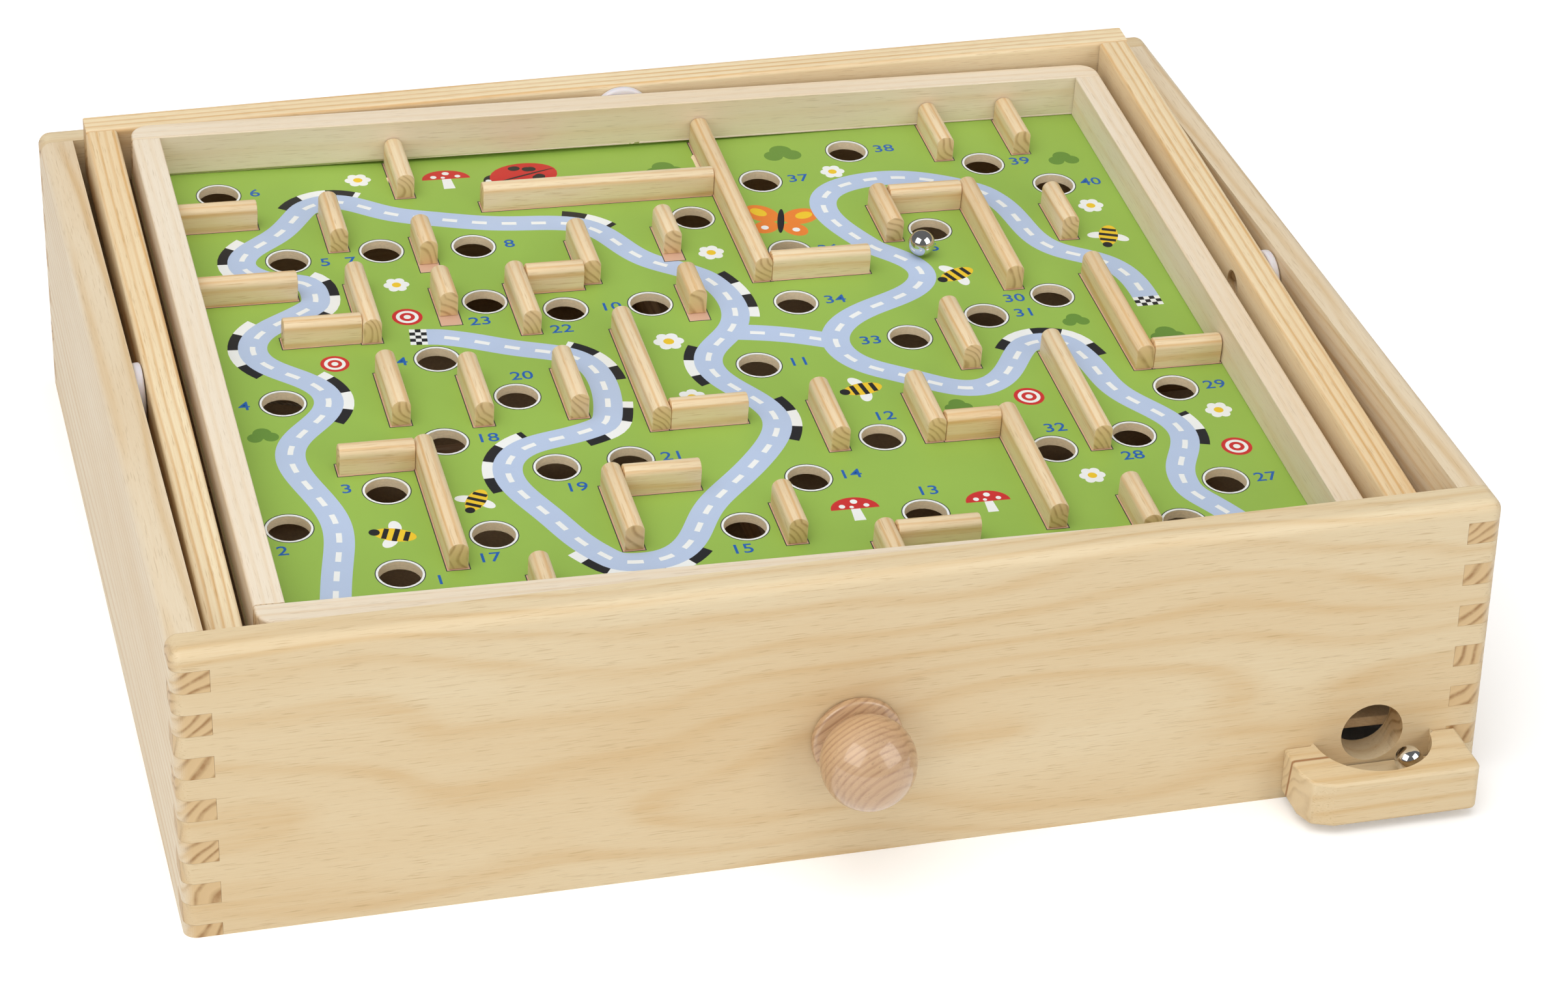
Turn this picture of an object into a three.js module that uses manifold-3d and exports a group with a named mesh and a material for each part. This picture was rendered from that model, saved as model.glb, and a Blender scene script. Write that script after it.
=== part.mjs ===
// Marble labyrinth game: a pine box, a tilting ring inside it, and a maze tray that tilts inside the ring.
// Millimetres, +Z up, +Y to the back. The origin lies on the table, under the middle of the whole outline.
import * as THREE from 'three';
import { mergeVertices } from 'three/addons/utils/BufferGeometryUtils.js';
import Module from 'manifold-3d';

const wasm = await Module();
wasm.setup();

// Outer box
const BOX_WIDTH = 360;
const BOX_DEPTH = 311.5;
const BOX_HEIGHT = 87.5;
const BOARD_T = 10;
const BOX_CORNER_R = 4;
const BOX_EDGE_R = 3;
const FINGER_HEIGHT = 6.5;
const FINGER_TOP = 5.6;
const JOINT_GAP = 0.15;

// Clearances and cutting overrun
const TOUCH_GAP = 0.3;
const TURN_CLEAR = 0.25;
const OVERRUN = 2;

// Ring and its pivots
const RING_GAP_X = 3;
const RING_GAP_Y = 2.75;
const RING_T = 9.5;
const RING_HEIGHT = 19;
const RING_EDGE_R = 1.4;
const PIVOT_DROP = 11;
const RING_TILT = THREE.MathUtils.degToRad(4.5);
const TRAY_TILT = THREE.MathUtils.degToRad(1.5);

// Tray, playfield and maze
const TRAY_GAP = 3;
const TRAY_WALL_T = 8.4;
const TRAY_WALL_HEIGHT = 13.9;
const TRAY_TOP = 8.1;
const TRAY_CORNER_R = 6;
const TRAY_EDGE_R = 1;
const PLAYFIELD_T = 2.5;
const HOLE_DIAMETER = 12;
const MAZE_T = 5.6;
const MAZE_HEIGHT = 8.5;
const MAZE_SHOULDER_SHARE = 0.72;

// Moulded pivots
const PIVOT_FLANGE_D = 18.6;
const PIVOT_FLANGE_T = 2.4;
const PIVOT_FLANGE_DOME = 0.8;
const PIVOT_SHANK_D = 8;
const PIVOT_SHANK_LENGTH = 6;

// Knobs and rods
const KNOB_BALL_D = 26;
const KNOB_COLLAR_D = 25;
const KNOB_COLLAR_T = 3;
const KNOB_NECK_D = 18;
const KNOB_LENGTH = 26;
const KNOB_BORE_DEPTH = 16;
const ROD_DIAMETER = 7;
const ROD_SEAT_DEPTH = 6;
const FRONT_ROD_Z = 38;
const SIDE_ROD_Z = 46;

// Ball exit, catch block and balls
const BALL_DIAMETER = 8;
const EXIT_DIAMETER = 18;
const EXIT_INSET = 32;
const EXIT_Z = 18;
const CATCH_WIDTH = 50;
const CATCH_DEPTH = 20.5;
const CATCH_HEIGHT = 13.5;
const CATCH_LIFT = 2.8;
const CATCH_CUT = 8;
const CATCH_CORNER_R = 2.5;
const CATCH_INSET = 7.5;
const POCKET_R = 17.3;
const POCKET_DEPTH = 8;
const FLOOR_T = 3;
const FLOOR_EXIT_Z = 16;
const FLOOR_SLOPE_Y_SHARE = 0.045;
const FLOOR_SLOPE_X_SHARE = 0.02;
const PLAY_BALL_shares = [0.25325, 0.184275];
const RETURN_BALL_OFFSET = 8.5;
const RETURN_BALL_Y = 7.5;

// Cords, springs and the pegs that hold them
const CORD_DIAMETER = 1;
const CORD_TURNS = 2;
const CORD_PITCH = 1.6;
const SPRING_DIAMETER = 5;
const SPRING_LENGTH = 14;
const PEG_DIAMETER = 3;
const PEG_LENGTH = 8;
const PEG_TIE = 6;
const RING_CORD_X = -40;
const TRAY_CORD_Y = 12;
const PEG_INSET = 4.7;

// Facet counts
const HOLE_SIDES = 12;
const ROUND_SIDES = 20;
const SHANK_SIDES = 12;
const KNOB_SIDES = 20;
const BALL_DETAIL = 2;
const EDGE_STEPS = 2;
const MAZE_STEPS = 3;
const CORD_SIDES = 6;
const TURN_STEPS = 12;

// Sizes that follow from the ones above
const SHIFT_X = -(TOUCH_GAP + KNOB_LENGTH) / 2;
const SHIFT_Y = (TOUCH_GAP + KNOB_LENGTH) / 2;
const INNER_WIDTH = BOX_WIDTH - 2 * BOARD_T;
const INNER_DEPTH = BOX_DEPTH - 2 * BOARD_T;
const PIVOT_Z = BOX_HEIGHT - PIVOT_DROP;
const EXIT_X = BOX_WIDTH / 2 - EXIT_INSET;
const CATCH_RIGHT = BOX_WIDTH / 2 - CATCH_INSET;
const RETURN_BALL_X = EXIT_X + RETURN_BALL_OFFSET;
const RING_WIDTH = INNER_WIDTH - 2 * RING_GAP_X;
const RING_DEPTH = INNER_DEPTH - 2 * RING_GAP_Y;
const TRAY_WIDTH = RING_WIDTH - 2 * (RING_T + TRAY_GAP);
const TRAY_DEPTH = RING_DEPTH - 2 * (RING_T + TRAY_GAP);
const PLAY_WIDTH = TRAY_WIDTH - 2 * TRAY_WALL_T;
const PLAY_DEPTH = TRAY_DEPTH - 2 * TRAY_WALL_T;
const PLAY_TOP = TRAY_TOP - TRAY_WALL_HEIGHT;
const SHANK_HOLE_R = PIVOT_SHANK_D / 2 + TURN_CLEAR;
const ROD_HOLE_R = ROD_DIAMETER / 2 + TURN_CLEAR;

// Hole places, as shares of the playfield's width and depth from its middle
const HOLE_shares = [
  [-0.446, 0.443], [-0.395, 0.277], [-0.441, -0.034], [-0.368, -0.228], [-0.468, -0.285],
  [-0.379, -0.390], [-0.282, -0.332], [-0.198, -0.455], [-0.201, -0.211], [-0.298, -0.140],
  [-0.214, -0.059], [-0.134, 0.121], [-0.279, 0.034], [-0.212, 0.152], [-0.298, 0.285],
  [-0.203, 0.280], [0.035, 0.310], [-0.047, 0.119], [0.101, 0.097], [0.035, -0.034],
  [0.123, -0.206], [-0.128, -0.208], [0.034, -0.275], [-0.046, -0.359], [0.130, -0.364],
  [0.372, -0.427], [0.285, -0.452], [0.285, -0.260], [0.435, -0.353], [0.370, -0.244],
  [0.439, -0.155], [0.367, 0.068], [0.288, 0.034], [0.199, 0.000], [0.277, 0.241],
  [0.120, 0.214], [0.124, 0.387], [0.232, 0.446], [0.372, 0.391], [0.436, 0.328],
];

// Maze sticks, by cluster: start and end of each centre line, as shares of the playfield's width and depth
const MAZE_shares = [
  [[-0.500, 0.368, -0.416, 0.368]],
  [[-0.500, 0.197, -0.397, 0.197]],
  [[-0.425, 0.093, -0.337, 0.093], [-0.337, 0.079, -0.337, 0.213]],
  [[-0.341, 0.290, -0.341, 0.381]],
  [[-0.255, 0.406, -0.255, 0.500]],
  [[-0.255, 0.246, -0.255, 0.311]],
  [[-0.003, 0.229, -0.003, 0.294]],
  [[-0.253, 0.126, -0.253, 0.190]],
  [[-0.177, 0.072, -0.177, 0.188], [-0.177, 0.174, -0.088, 0.174], [-0.098, 0.174, -0.098, 0.276]],
  [[-0.088, -0.154, -0.088, 0.068], [-0.088, -0.142, -0.001, -0.142]],
  [[-0.004, 0.089, -0.004, 0.156]],
  [[-0.335, -0.100, -0.335, 0.013]],
  [[-0.256, -0.115, -0.256, -0.005]],
  [[-0.162, -0.115, -0.162, -0.007]],
  [[-0.408, -0.180, -0.325, -0.180], [-0.325, -0.391, -0.325, -0.169]],
  [[-0.158, -0.385, -0.158, -0.257], [-0.158, -0.268, -0.073, -0.268]],
  [[-0.255, -0.500, -0.255, -0.415]],
  [[-0.004, -0.401, -0.004, -0.319]],
  [[-0.180, 0.372, 0.077, 0.372], [0.077, 0.150, 0.077, 0.500], [0.077, 0.162, 0.191, 0.162]],
  [[0.233, 0.220, 0.233, 0.308], [0.233, 0.297, 0.331, 0.297], [0.331, 0.089, 0.331, 0.308]],
  [[0.332, 0.406, 0.332, 0.500]],
  [[0.419, 0.409, 0.419, 0.500]],
  [[0.418, 0.194, 0.418, 0.282]],
  [[0.245, -0.078, 0.245, 0.035]],
  [[0.418, -0.110, 0.418, 0.111], [0.418, -0.098, 0.500, -0.098]],
  [[0.076, -0.226, 0.076, -0.118]],
  [[0.173, -0.225, 0.173, -0.120], [0.164, -0.214, 0.248, -0.214], [0.248, -0.416, 0.248, -0.203]],
  [[0.331, -0.269, 0.331, -0.055]],
  [[0.331, -0.454, 0.331, -0.364]],
  [[0.076, -0.500, 0.076, -0.411], [0.076, -0.423, 0.167, -0.423]],
];

// Materials
function wood(color, roughness) {
  return new THREE.MeshStandardMaterial({ color, roughness, metalness: 0 });
}
const PINE = wood(0xd9b67c, 0.6);
const RING_PINE = wood(0xdfb877, 0.6);
const PALE_WOOD = wood(0xe3d2b4, 0.65);
const BEECH = wood(0xc8955a, 0.35);
const FIBREBOARD = wood(0x86b640, 0.7);
const DARK_BOARD = wood(0x8a6b4c, 0.8);
const NYLON = new THREE.MeshStandardMaterial({ color: 0xe6e2e4, roughness: 0.4, metalness: 0 });
const STEEL = new THREE.MeshStandardMaterial({ color: 0xbfc0c2, roughness: 0.12, metalness: 1 });
const CORD = new THREE.MeshStandardMaterial({ color: 0xd8d4c8, roughness: 0.9, metalness: 0 });

// Solids: a three.js geometry becomes a closed solid for joins and cuts, and comes back again
function solid(geometry) {
  const bare = geometry.index ? geometry.toNonIndexed() : geometry.clone();
  bare.deleteAttribute('normal');
  bare.deleteAttribute('uv');
  const merged = mergeVertices(bare);
  return new wasm.Manifold(new wasm.Mesh({
    numProp: 3,
    vertProperties: new Float32Array(merged.attributes.position.array),
    triVerts: new Uint32Array(merged.index.array),
  }));
}

function geometryOf(body) {
  const mesh = body.getMesh();
  const geometry = new THREE.BufferGeometry();
  geometry.setAttribute('position', new THREE.BufferAttribute(new Float32Array(mesh.vertProperties), 3));
  geometry.setIndex(new THREE.BufferAttribute(new Uint32Array(mesh.triVerts), 1));
  geometry.computeVertexNormals();
  return geometry;
}

function boxAt(width, depth, height, x, y, z) {
  return solid(new THREE.BoxGeometry(width, depth, height).translate(x, y, z));
}

// A round bar along X, Y or Z with its middle at the point
function roundBar(axis, radius, length, sides, x, y, z) {
  const geometry = new THREE.CylinderGeometry(radius, radius, length, sides);
  geometry.rotateY(Math.PI / sides);
  if (axis === 'x') {
    geometry.rotateZ(Math.PI / 2);
  }
  if (axis === 'z') {
    geometry.rotateX(Math.PI / 2);
  }
  return solid(geometry.translate(x, y, z));
}

function roundedShape(width, height, radius) {
  const shape = new THREE.Shape();
  const x = width / 2;
  const y = height / 2;
  shape.moveTo(x, y - radius);
  shape.absarc(x - radius, y - radius, radius, 0, Math.PI / 2);
  shape.absarc(radius - x, y - radius, radius, Math.PI / 2, Math.PI);
  shape.absarc(radius - x, radius - y, radius, Math.PI, 3 * Math.PI / 2);
  shape.absarc(x - radius, radius - y, radius, 3 * Math.PI / 2, 2 * Math.PI);
  return shape;
}

// A block with rounded upright corners and a rounded top edge, standing on z = 0
function roundedBlock(width, depth, height, cornerR, topR) {
  return solid(new THREE.ExtrudeGeometry(roundedShape(width, depth, cornerR), {
    depth: height, bevelThickness: topR, bevelSize: topR, bevelOffset: -topR,
    bevelSegments: EDGE_STEPS, curveSegments: EDGE_STEPS,
  }).translate(0, 0, -topR));
}

// A bar along X with softened long edges, its middle at the origin
function softBar(length, thickness, height, edgeR) {
  const geometry = new THREE.ExtrudeGeometry(roundedShape(thickness, height, edgeR), {
    depth: length, bevelEnabled: false, curveSegments: EDGE_STEPS,
  });
  return geometry.translate(0, 0, -length / 2).rotateX(Math.PI / 2).rotateZ(Math.PI / 2);
}

const root = new THREE.Group();
const box = new THREE.Group();
const ring = new THREE.Group();
const tray = new THREE.Group();
box.position.set(SHIFT_X, SHIFT_Y, 0);
ring.position.z = PIVOT_Z;
ring.rotation.x = RING_TILT;
tray.rotation.y = TRAY_TILT;
root.add(box);
box.add(ring);
ring.add(tray);

function place(group, name, geometry, material) {
  const mesh = new THREE.Mesh(geometry, material);
  mesh.name = name;
  group.add(mesh);
  return mesh;
}

// Box boards: the side boards end in fingers that show as end grain on the front and back
const envelope = roundedBlock(BOX_WIDTH, BOX_DEPTH, BOX_HEIGHT, BOX_CORNER_R, BOX_EDGE_R);
const fingerSpans = [];
for (let top = BOX_HEIGHT - FINGER_TOP; top > 0; top -= 2 * FINGER_HEIGHT) {
  fingerSpans.push([Math.max(top - FINGER_HEIGHT, 0), top]);
}

function longBoard(end) {
  const y = end * (BOX_DEPTH - BOARD_T) / 2;
  const notchWidth = BOARD_T + JOINT_GAP + OVERRUN;
  let board = boxAt(BOX_WIDTH, BOARD_T, BOX_HEIGHT, 0, y, BOX_HEIGHT / 2);
  for (const side of [-1, 1]) {
    for (const [low, high] of fingerSpans) {
      const bottom = low > 0 ? low - JOINT_GAP : -OVERRUN;
      const height = high + JOINT_GAP - bottom;
      const x = side * (BOX_WIDTH / 2 + OVERRUN - notchWidth / 2);
      board = board.subtract(boxAt(notchWidth, BOARD_T + OVERRUN, height, x, y, bottom + height / 2));
    }
  }
  return board.intersect(envelope);
}

function sideBoard(side) {
  const x = side * (BOX_WIDTH - BOARD_T) / 2;
  let board = boxAt(BOARD_T, INNER_DEPTH - 2 * JOINT_GAP, BOX_HEIGHT, x, 0, BOX_HEIGHT / 2);
  for (const end of [-1, 1]) {
    for (const [low, high] of fingerSpans) {
      const y = end * (BOX_DEPTH / 2 - BOARD_T);
      board = board.add(boxAt(BOARD_T, 2 * BOARD_T, high - low, x, y, (high + low) / 2));
    }
  }
  return board.intersect(envelope);
}

const through = BOARD_T + 2 * OVERRUN;
const frontY = -(BOX_DEPTH - BOARD_T) / 2;
const rightX = (BOX_WIDTH - BOARD_T) / 2;
const exitHole = roundBar('y', EXIT_DIAMETER / 2, through, ROUND_SIDES, EXIT_X, frontY, EXIT_Z);
const frontRodHole = roundBar('y', ROD_HOLE_R, through, ROUND_SIDES, 0, frontY, FRONT_ROD_Z);
const rightRodHole = roundBar('x', ROD_HOLE_R, through, ROUND_SIDES, rightX, 0, SIDE_ROD_Z);
const seat = 2 * ROD_SEAT_DEPTH;
const backRodSeat = roundBar('y', ROD_HOLE_R, seat, ROUND_SIDES, 0, INNER_DEPTH / 2, FRONT_ROD_Z);
const leftRodSeat = roundBar('x', ROD_HOLE_R, seat, ROUND_SIDES, -INNER_WIDTH / 2, 0, SIDE_ROD_Z);
function pivotSeat(side) {
  const depth = 2 * (PIVOT_SHANK_LENGTH + TOUCH_GAP);
  return roundBar('x', SHANK_HOLE_R, depth, ROUND_SIDES, side * INNER_WIDTH / 2, 0, PIVOT_Z);
}

place(box, 'front_board', geometryOf(longBoard(-1).subtract(exitHole).subtract(frontRodHole)), PINE);
place(box, 'back_board', geometryOf(longBoard(1).subtract(backRodSeat)), PINE);
place(box, 'left_board', geometryOf(sideBoard(-1).subtract(pivotSeat(-1)).subtract(leftRodSeat)), PINE);
place(box, 'right_board', geometryOf(sideBoard(1).subtract(pivotSeat(1)).subtract(rightRodHole)), PINE);

// Sloping floor: level edges against the boards, lowest at the exit hole
const floorWidth = INNER_WIDTH - 2 * TOUCH_GAP;
const floorDepth = INNER_DEPTH - 2 * TOUCH_GAP;
const floorGeometry = new THREE.BoxGeometry(floorWidth, floorDepth, FLOOR_T);
const floorPoints = floorGeometry.attributes.position;
for (let i = 0; i < floorPoints.count; i += 1) {
  const riseY = FLOOR_SLOPE_Y_SHARE * (floorPoints.getY(i) + INNER_DEPTH / 2);
  const rise = riseY + FLOOR_SLOPE_X_SHARE * (EXIT_X - floorPoints.getX(i));
  floorPoints.setZ(i, floorPoints.getZ(i) + FLOOR_EXIT_Z - FLOOR_T / 2 + rise);
}
place(box, 'sloped_floor', geometryOf(solid(floorGeometry)), DARK_BOARD);

// Catch block with its half-round pocket, and the ball in it
const catchShape = new THREE.Shape();
const catchLeft = CATCH_RIGHT - CATCH_WIDTH;
const catchCornerY = CATCH_CORNER_R - CATCH_DEPTH;
catchShape.moveTo(catchLeft, 0);
catchShape.lineTo(catchLeft, CATCH_CUT - CATCH_DEPTH);
catchShape.lineTo(catchLeft + CATCH_CUT / 4, catchCornerY);
catchShape.lineTo(catchLeft + CATCH_CUT, -CATCH_DEPTH);
catchShape.lineTo(CATCH_RIGHT - CATCH_CORNER_R, -CATCH_DEPTH);
catchShape.absarc(CATCH_RIGHT - CATCH_CORNER_R, catchCornerY, CATCH_CORNER_R, -Math.PI / 2, 0);
catchShape.lineTo(CATCH_RIGHT, 0);
const catchBody = solid(new THREE.ExtrudeGeometry(catchShape, {
  depth: CATCH_HEIGHT, bevelEnabled: false, curveSegments: EDGE_STEPS,
}).translate(0, -BOX_DEPTH / 2, CATCH_LIFT));
const catchTop = CATCH_LIFT + CATCH_HEIGHT;
const pocket = roundBar('z', POCKET_R, 2 * POCKET_DEPTH, 2 * ROUND_SIDES, EXIT_X, -BOX_DEPTH / 2, catchTop);
place(box, 'ball_catch', geometryOf(catchBody.subtract(pocket)), PINE);

function ball(x, y, z) {
  const geometry = new THREE.IcosahedronGeometry(BALL_DIAMETER / 2, BALL_DETAIL);
  return geometryOf(solid(geometry.translate(x, y, z)));
}
place(box, 'return_ball', ball(RETURN_BALL_X, -BOX_DEPTH / 2 - RETURN_BALL_Y,
  catchTop - POCKET_DEPTH + TOUCH_GAP + BALL_DIAMETER / 2), STEEL);

// A turned solid from radius and height pairs, along Y
function turned(profile, sides) {
  const points = profile.map(([radius, height]) => new THREE.Vector2(radius, height));
  return geometryOf(solid(new THREE.LatheGeometry(points, sides)));
}

// Knobs: a turned ball head on a collar, glued on a dowel rod
function knobGeometry() {
  const headR = KNOB_BALL_D / 2;
  const centre = KNOB_LENGTH - headR;
  const start = Math.asin(KNOB_NECK_D / KNOB_BALL_D);
  const collarR = KNOB_COLLAR_D / 2;
  const soft = KNOB_COLLAR_T / 4;
  const profile = [[0, KNOB_BORE_DEPTH], [ROD_HOLE_R, KNOB_BORE_DEPTH], [ROD_HOLE_R, 0], [collarR - soft, 0],
    [collarR, soft], [collarR, KNOB_COLLAR_T - soft], [collarR - soft, KNOB_COLLAR_T]];
  const steps = KNOB_SIDES / 2;
  for (let i = 0; i < steps; i += 1) {
    const angle = start + (Math.PI - start) * i / steps;
    profile.push([headR * Math.sin(angle), centre - headR * Math.cos(angle)]);
  }
  profile.push([0, KNOB_LENGTH]);
  return turned(profile, KNOB_SIDES);
}
function rodGeometry(length) {
  const radius = ROD_DIAMETER / 2;
  return geometryOf(solid(new THREE.CylinderGeometry(radius, radius, length, SHANK_SIDES)));
}
const rodReach = KNOB_BORE_DEPTH - TOUCH_GAP;
const rodRun = (across) => across - BOARD_T + ROD_SEAT_DEPTH + rodReach;

const frontKnob = place(box, 'front_knob', knobGeometry(), BEECH);
frontKnob.position.set(0, -BOX_DEPTH / 2 - TOUCH_GAP, FRONT_ROD_Z);
frontKnob.rotation.x = Math.PI;
const frontRod = place(box, 'front_rod', rodGeometry(rodRun(BOX_DEPTH)), BEECH);
frontRod.position.set(0, -BOX_DEPTH / 2 - TOUCH_GAP - rodReach + rodRun(BOX_DEPTH) / 2, FRONT_ROD_Z);

const sideKnob = place(box, 'side_knob', knobGeometry(), BEECH);
sideKnob.position.set(BOX_WIDTH / 2 + TOUCH_GAP, 0, SIDE_ROD_Z);
sideKnob.rotation.z = -Math.PI / 2;
const sideRod = place(box, 'side_rod', rodGeometry(rodRun(BOX_WIDTH)), BEECH);
sideRod.position.set(BOX_WIDTH / 2 + TOUCH_GAP + rodReach - rodRun(BOX_WIDTH) / 2, 0, SIDE_ROD_Z);
sideRod.rotation.z = Math.PI / 2;

// Moulded pivots: a flanged plug with a shank on each side of its flange, along Y
function pivotGeometry() {
  const shank = PIVOT_SHANK_D / 2;
  const flange = PIVOT_FLANGE_D / 2;
  const half = PIVOT_FLANGE_T / 2;
  const end = half + PIVOT_SHANK_LENGTH;
  const rim = flange - PIVOT_FLANGE_DOME;
  const edge = half - PIVOT_FLANGE_DOME;
  return turned([[0, -end], [shank, -end], [shank, -half], [rim, -half], [flange, -edge], [flange, edge],
    [rim, half], [shank, half], [shank, end], [0, end]], SHANK_SIDES);
}
for (const [name, side] of [['left_pivot', -1], ['right_pivot', 1]]) {
  const pivot = place(box, name, pivotGeometry(), NYLON);
  pivot.position.set(side * (INNER_WIDTH - RING_GAP_X) / 2, 0, PIVOT_Z);
  pivot.rotation.z = Math.PI / 2;
}
for (const [name, end] of [['front_pivot', -1], ['back_pivot', 1]]) {
  const pivot = place(ring, name, pivotGeometry(), NYLON);
  pivot.position.y = end * (RING_DEPTH / 2 - RING_T - TRAY_GAP / 2);
}

// Ring bars: front and back run the full width, the sides stand between them
const ringPegY = RING_DEPTH / 2 - PEG_INSET;
function peg(x, y, top) {
  const length = PEG_LENGTH + RING_EDGE_R;
  return roundBar('z', PEG_DIAMETER / 2, length, SHANK_SIDES, x, y, top + RING_EDGE_R - length / 2);
}
for (const [name, end] of [['ring_front_bar', -1], ['ring_back_bar', 1]]) {
  const y = end * (RING_DEPTH - RING_T) / 2;
  const bar = solid(softBar(RING_WIDTH, RING_T, RING_HEIGHT, RING_EDGE_R).translate(0, y, 0))
    .subtract(roundBar('y', SHANK_HOLE_R, RING_T + OVERRUN, ROUND_SIDES, 0, y, 0))
    .add(peg(RING_CORD_X, end * ringPegY, -RING_HEIGHT / 2));
  place(ring, name, geometryOf(bar), RING_PINE);
}
for (const [name, side] of [['ring_left_bar', -1], ['ring_right_bar', 1]]) {
  const x = side * (RING_WIDTH - RING_T) / 2;
  const geometry = softBar(RING_DEPTH - 2 * (RING_T + TOUCH_GAP), RING_T, RING_HEIGHT, RING_EDGE_R);
  const bar = solid(geometry.rotateZ(Math.PI / 2).translate(x, 0, 0))
    .subtract(roundBar('x', SHANK_HOLE_R, RING_T + OVERRUN, ROUND_SIDES, x, 0, 0));
  place(ring, name, geometryOf(bar), RING_PINE);
}

// Tray walls on the playfield board, with rounded outer corners
const wallHeight = TRAY_WALL_HEIGHT - TOUCH_GAP;
const trayEnvelope = roundedBlock(TRAY_WIDTH, TRAY_DEPTH, wallHeight, TRAY_CORNER_R, TRAY_EDGE_R)
  .translate(0, 0, PLAY_TOP + TOUCH_GAP);
const wallZ = PLAY_TOP + TOUCH_GAP + wallHeight / 2;
const traySeat = PIVOT_FLANGE_T / 2 + PIVOT_SHANK_LENGTH + TOUCH_GAP - TRAY_GAP / 2;
for (const [name, end] of [['tray_front_wall', -1], ['tray_back_wall', 1]]) {
  const y = end * (TRAY_DEPTH - TRAY_WALL_T) / 2;
  const wall = boxAt(TRAY_WIDTH, TRAY_WALL_T, wallHeight, 0, y, wallZ).intersect(trayEnvelope)
    .subtract(roundBar('y', SHANK_HOLE_R, 2 * traySeat, ROUND_SIDES, 0, end * TRAY_DEPTH / 2, 0));
  place(tray, name, geometryOf(wall), PALE_WOOD);
}
for (const [name, side] of [['tray_left_wall', -1], ['tray_right_wall', 1]]) {
  const x = side * (TRAY_WIDTH - TRAY_WALL_T) / 2;
  const wall = boxAt(TRAY_WALL_T, PLAY_DEPTH - 2 * TOUCH_GAP, wallHeight, x, 0, wallZ);
  place(tray, name, geometryOf(wall.intersect(trayEnvelope)), PALE_WOOD);
}

// Playfield board with its forty holes and the two cord pegs below
const playfieldShape = roundedShape(TRAY_WIDTH, TRAY_DEPTH, TRAY_CORNER_R);
let playfield = solid(new THREE.ExtrudeGeometry(playfieldShape, {
  depth: PLAYFIELD_T, bevelEnabled: false, curveSegments: EDGE_STEPS,
}).translate(0, 0, PLAY_TOP - PLAYFIELD_T));
for (const [across, along] of HOLE_shares) {
  playfield = playfield.subtract(roundBar('z', HOLE_DIAMETER / 2, PLAYFIELD_T + OVERRUN, HOLE_SIDES,
    across * PLAY_WIDTH, along * PLAY_DEPTH, PLAY_TOP - PLAYFIELD_T / 2));
}
const trayPegX = TRAY_WIDTH / 2 - PEG_INSET;
for (const side of [-1, 1]) {
  playfield = playfield.add(peg(side * trayPegX, TRAY_CORD_Y, PLAY_TOP - PLAYFIELD_T));
}
place(tray, 'playfield', geometryOf(playfield), FIBREBOARD);

// Maze walls: sticks with a rounded top, joined into clusters where they meet
function onPlayfield(shareX, shareY) {
  const limitX = PLAY_WIDTH / 2 - TOUCH_GAP;
  const limitY = PLAY_DEPTH / 2 - TOUCH_GAP;
  const x = THREE.MathUtils.clamp(shareX * PLAY_WIDTH, -limitX, limitX);
  return new THREE.Vector2(x, THREE.MathUtils.clamp(shareY * PLAY_DEPTH, -limitY, limitY));
}
function stick([startX, startY, endX, endY]) {
  const from = onPlayfield(startX, startY);
  const to = onPlayfield(endX, endY);
  const along = to.clone().sub(from);
  const shoulder = MAZE_HEIGHT * MAZE_SHOULDER_SHARE;
  const profile = new THREE.Shape();
  profile.moveTo(-MAZE_T / 2, TOUCH_GAP);
  profile.lineTo(MAZE_T / 2, TOUCH_GAP);
  profile.lineTo(MAZE_T / 2, shoulder);
  profile.absellipse(0, shoulder, MAZE_T / 2, MAZE_HEIGHT - shoulder, 0, Math.PI);
  const geometry = new THREE.ExtrudeGeometry(profile, {
    depth: along.length(), bevelEnabled: false, curveSegments: MAZE_STEPS,
  });
  geometry.rotateX(Math.PI / 2).rotateZ(Math.PI).rotateZ(along.angle() - Math.PI / 2);
  return solid(geometry.translate(from.x, from.y, PLAY_TOP));
}
MAZE_shares.forEach((sticks, index) => {
  const cluster = sticks.map(stick).reduce((joined, next) => joined.add(next));
  place(tray, `maze_wall_${String(index + 1).padStart(2, '0')}`, geometryOf(cluster), PALE_WOOD);
});

const [playBallX, playBallY] = [PLAY_BALL_shares[0] * PLAY_WIDTH, PLAY_BALL_shares[1] * PLAY_DEPTH];
place(tray, 'play_ball', ball(playBallX, playBallY, PLAY_TOP + TOUCH_GAP + BALL_DIAMETER / 2), STEEL);

// Cords: from a spring at one peg, round the rod, and up to the peg opposite
const boxPoint = (point, tilt) => point.applyEuler(tilt).add(new THREE.Vector3(0, 0, PIVOT_Z));
const windR = (ROD_DIAMETER + CORD_DIAMETER) / 2 + TOUCH_GAP;
const pegReach = PEG_DIAMETER / 2 + TOUCH_GAP;

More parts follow.
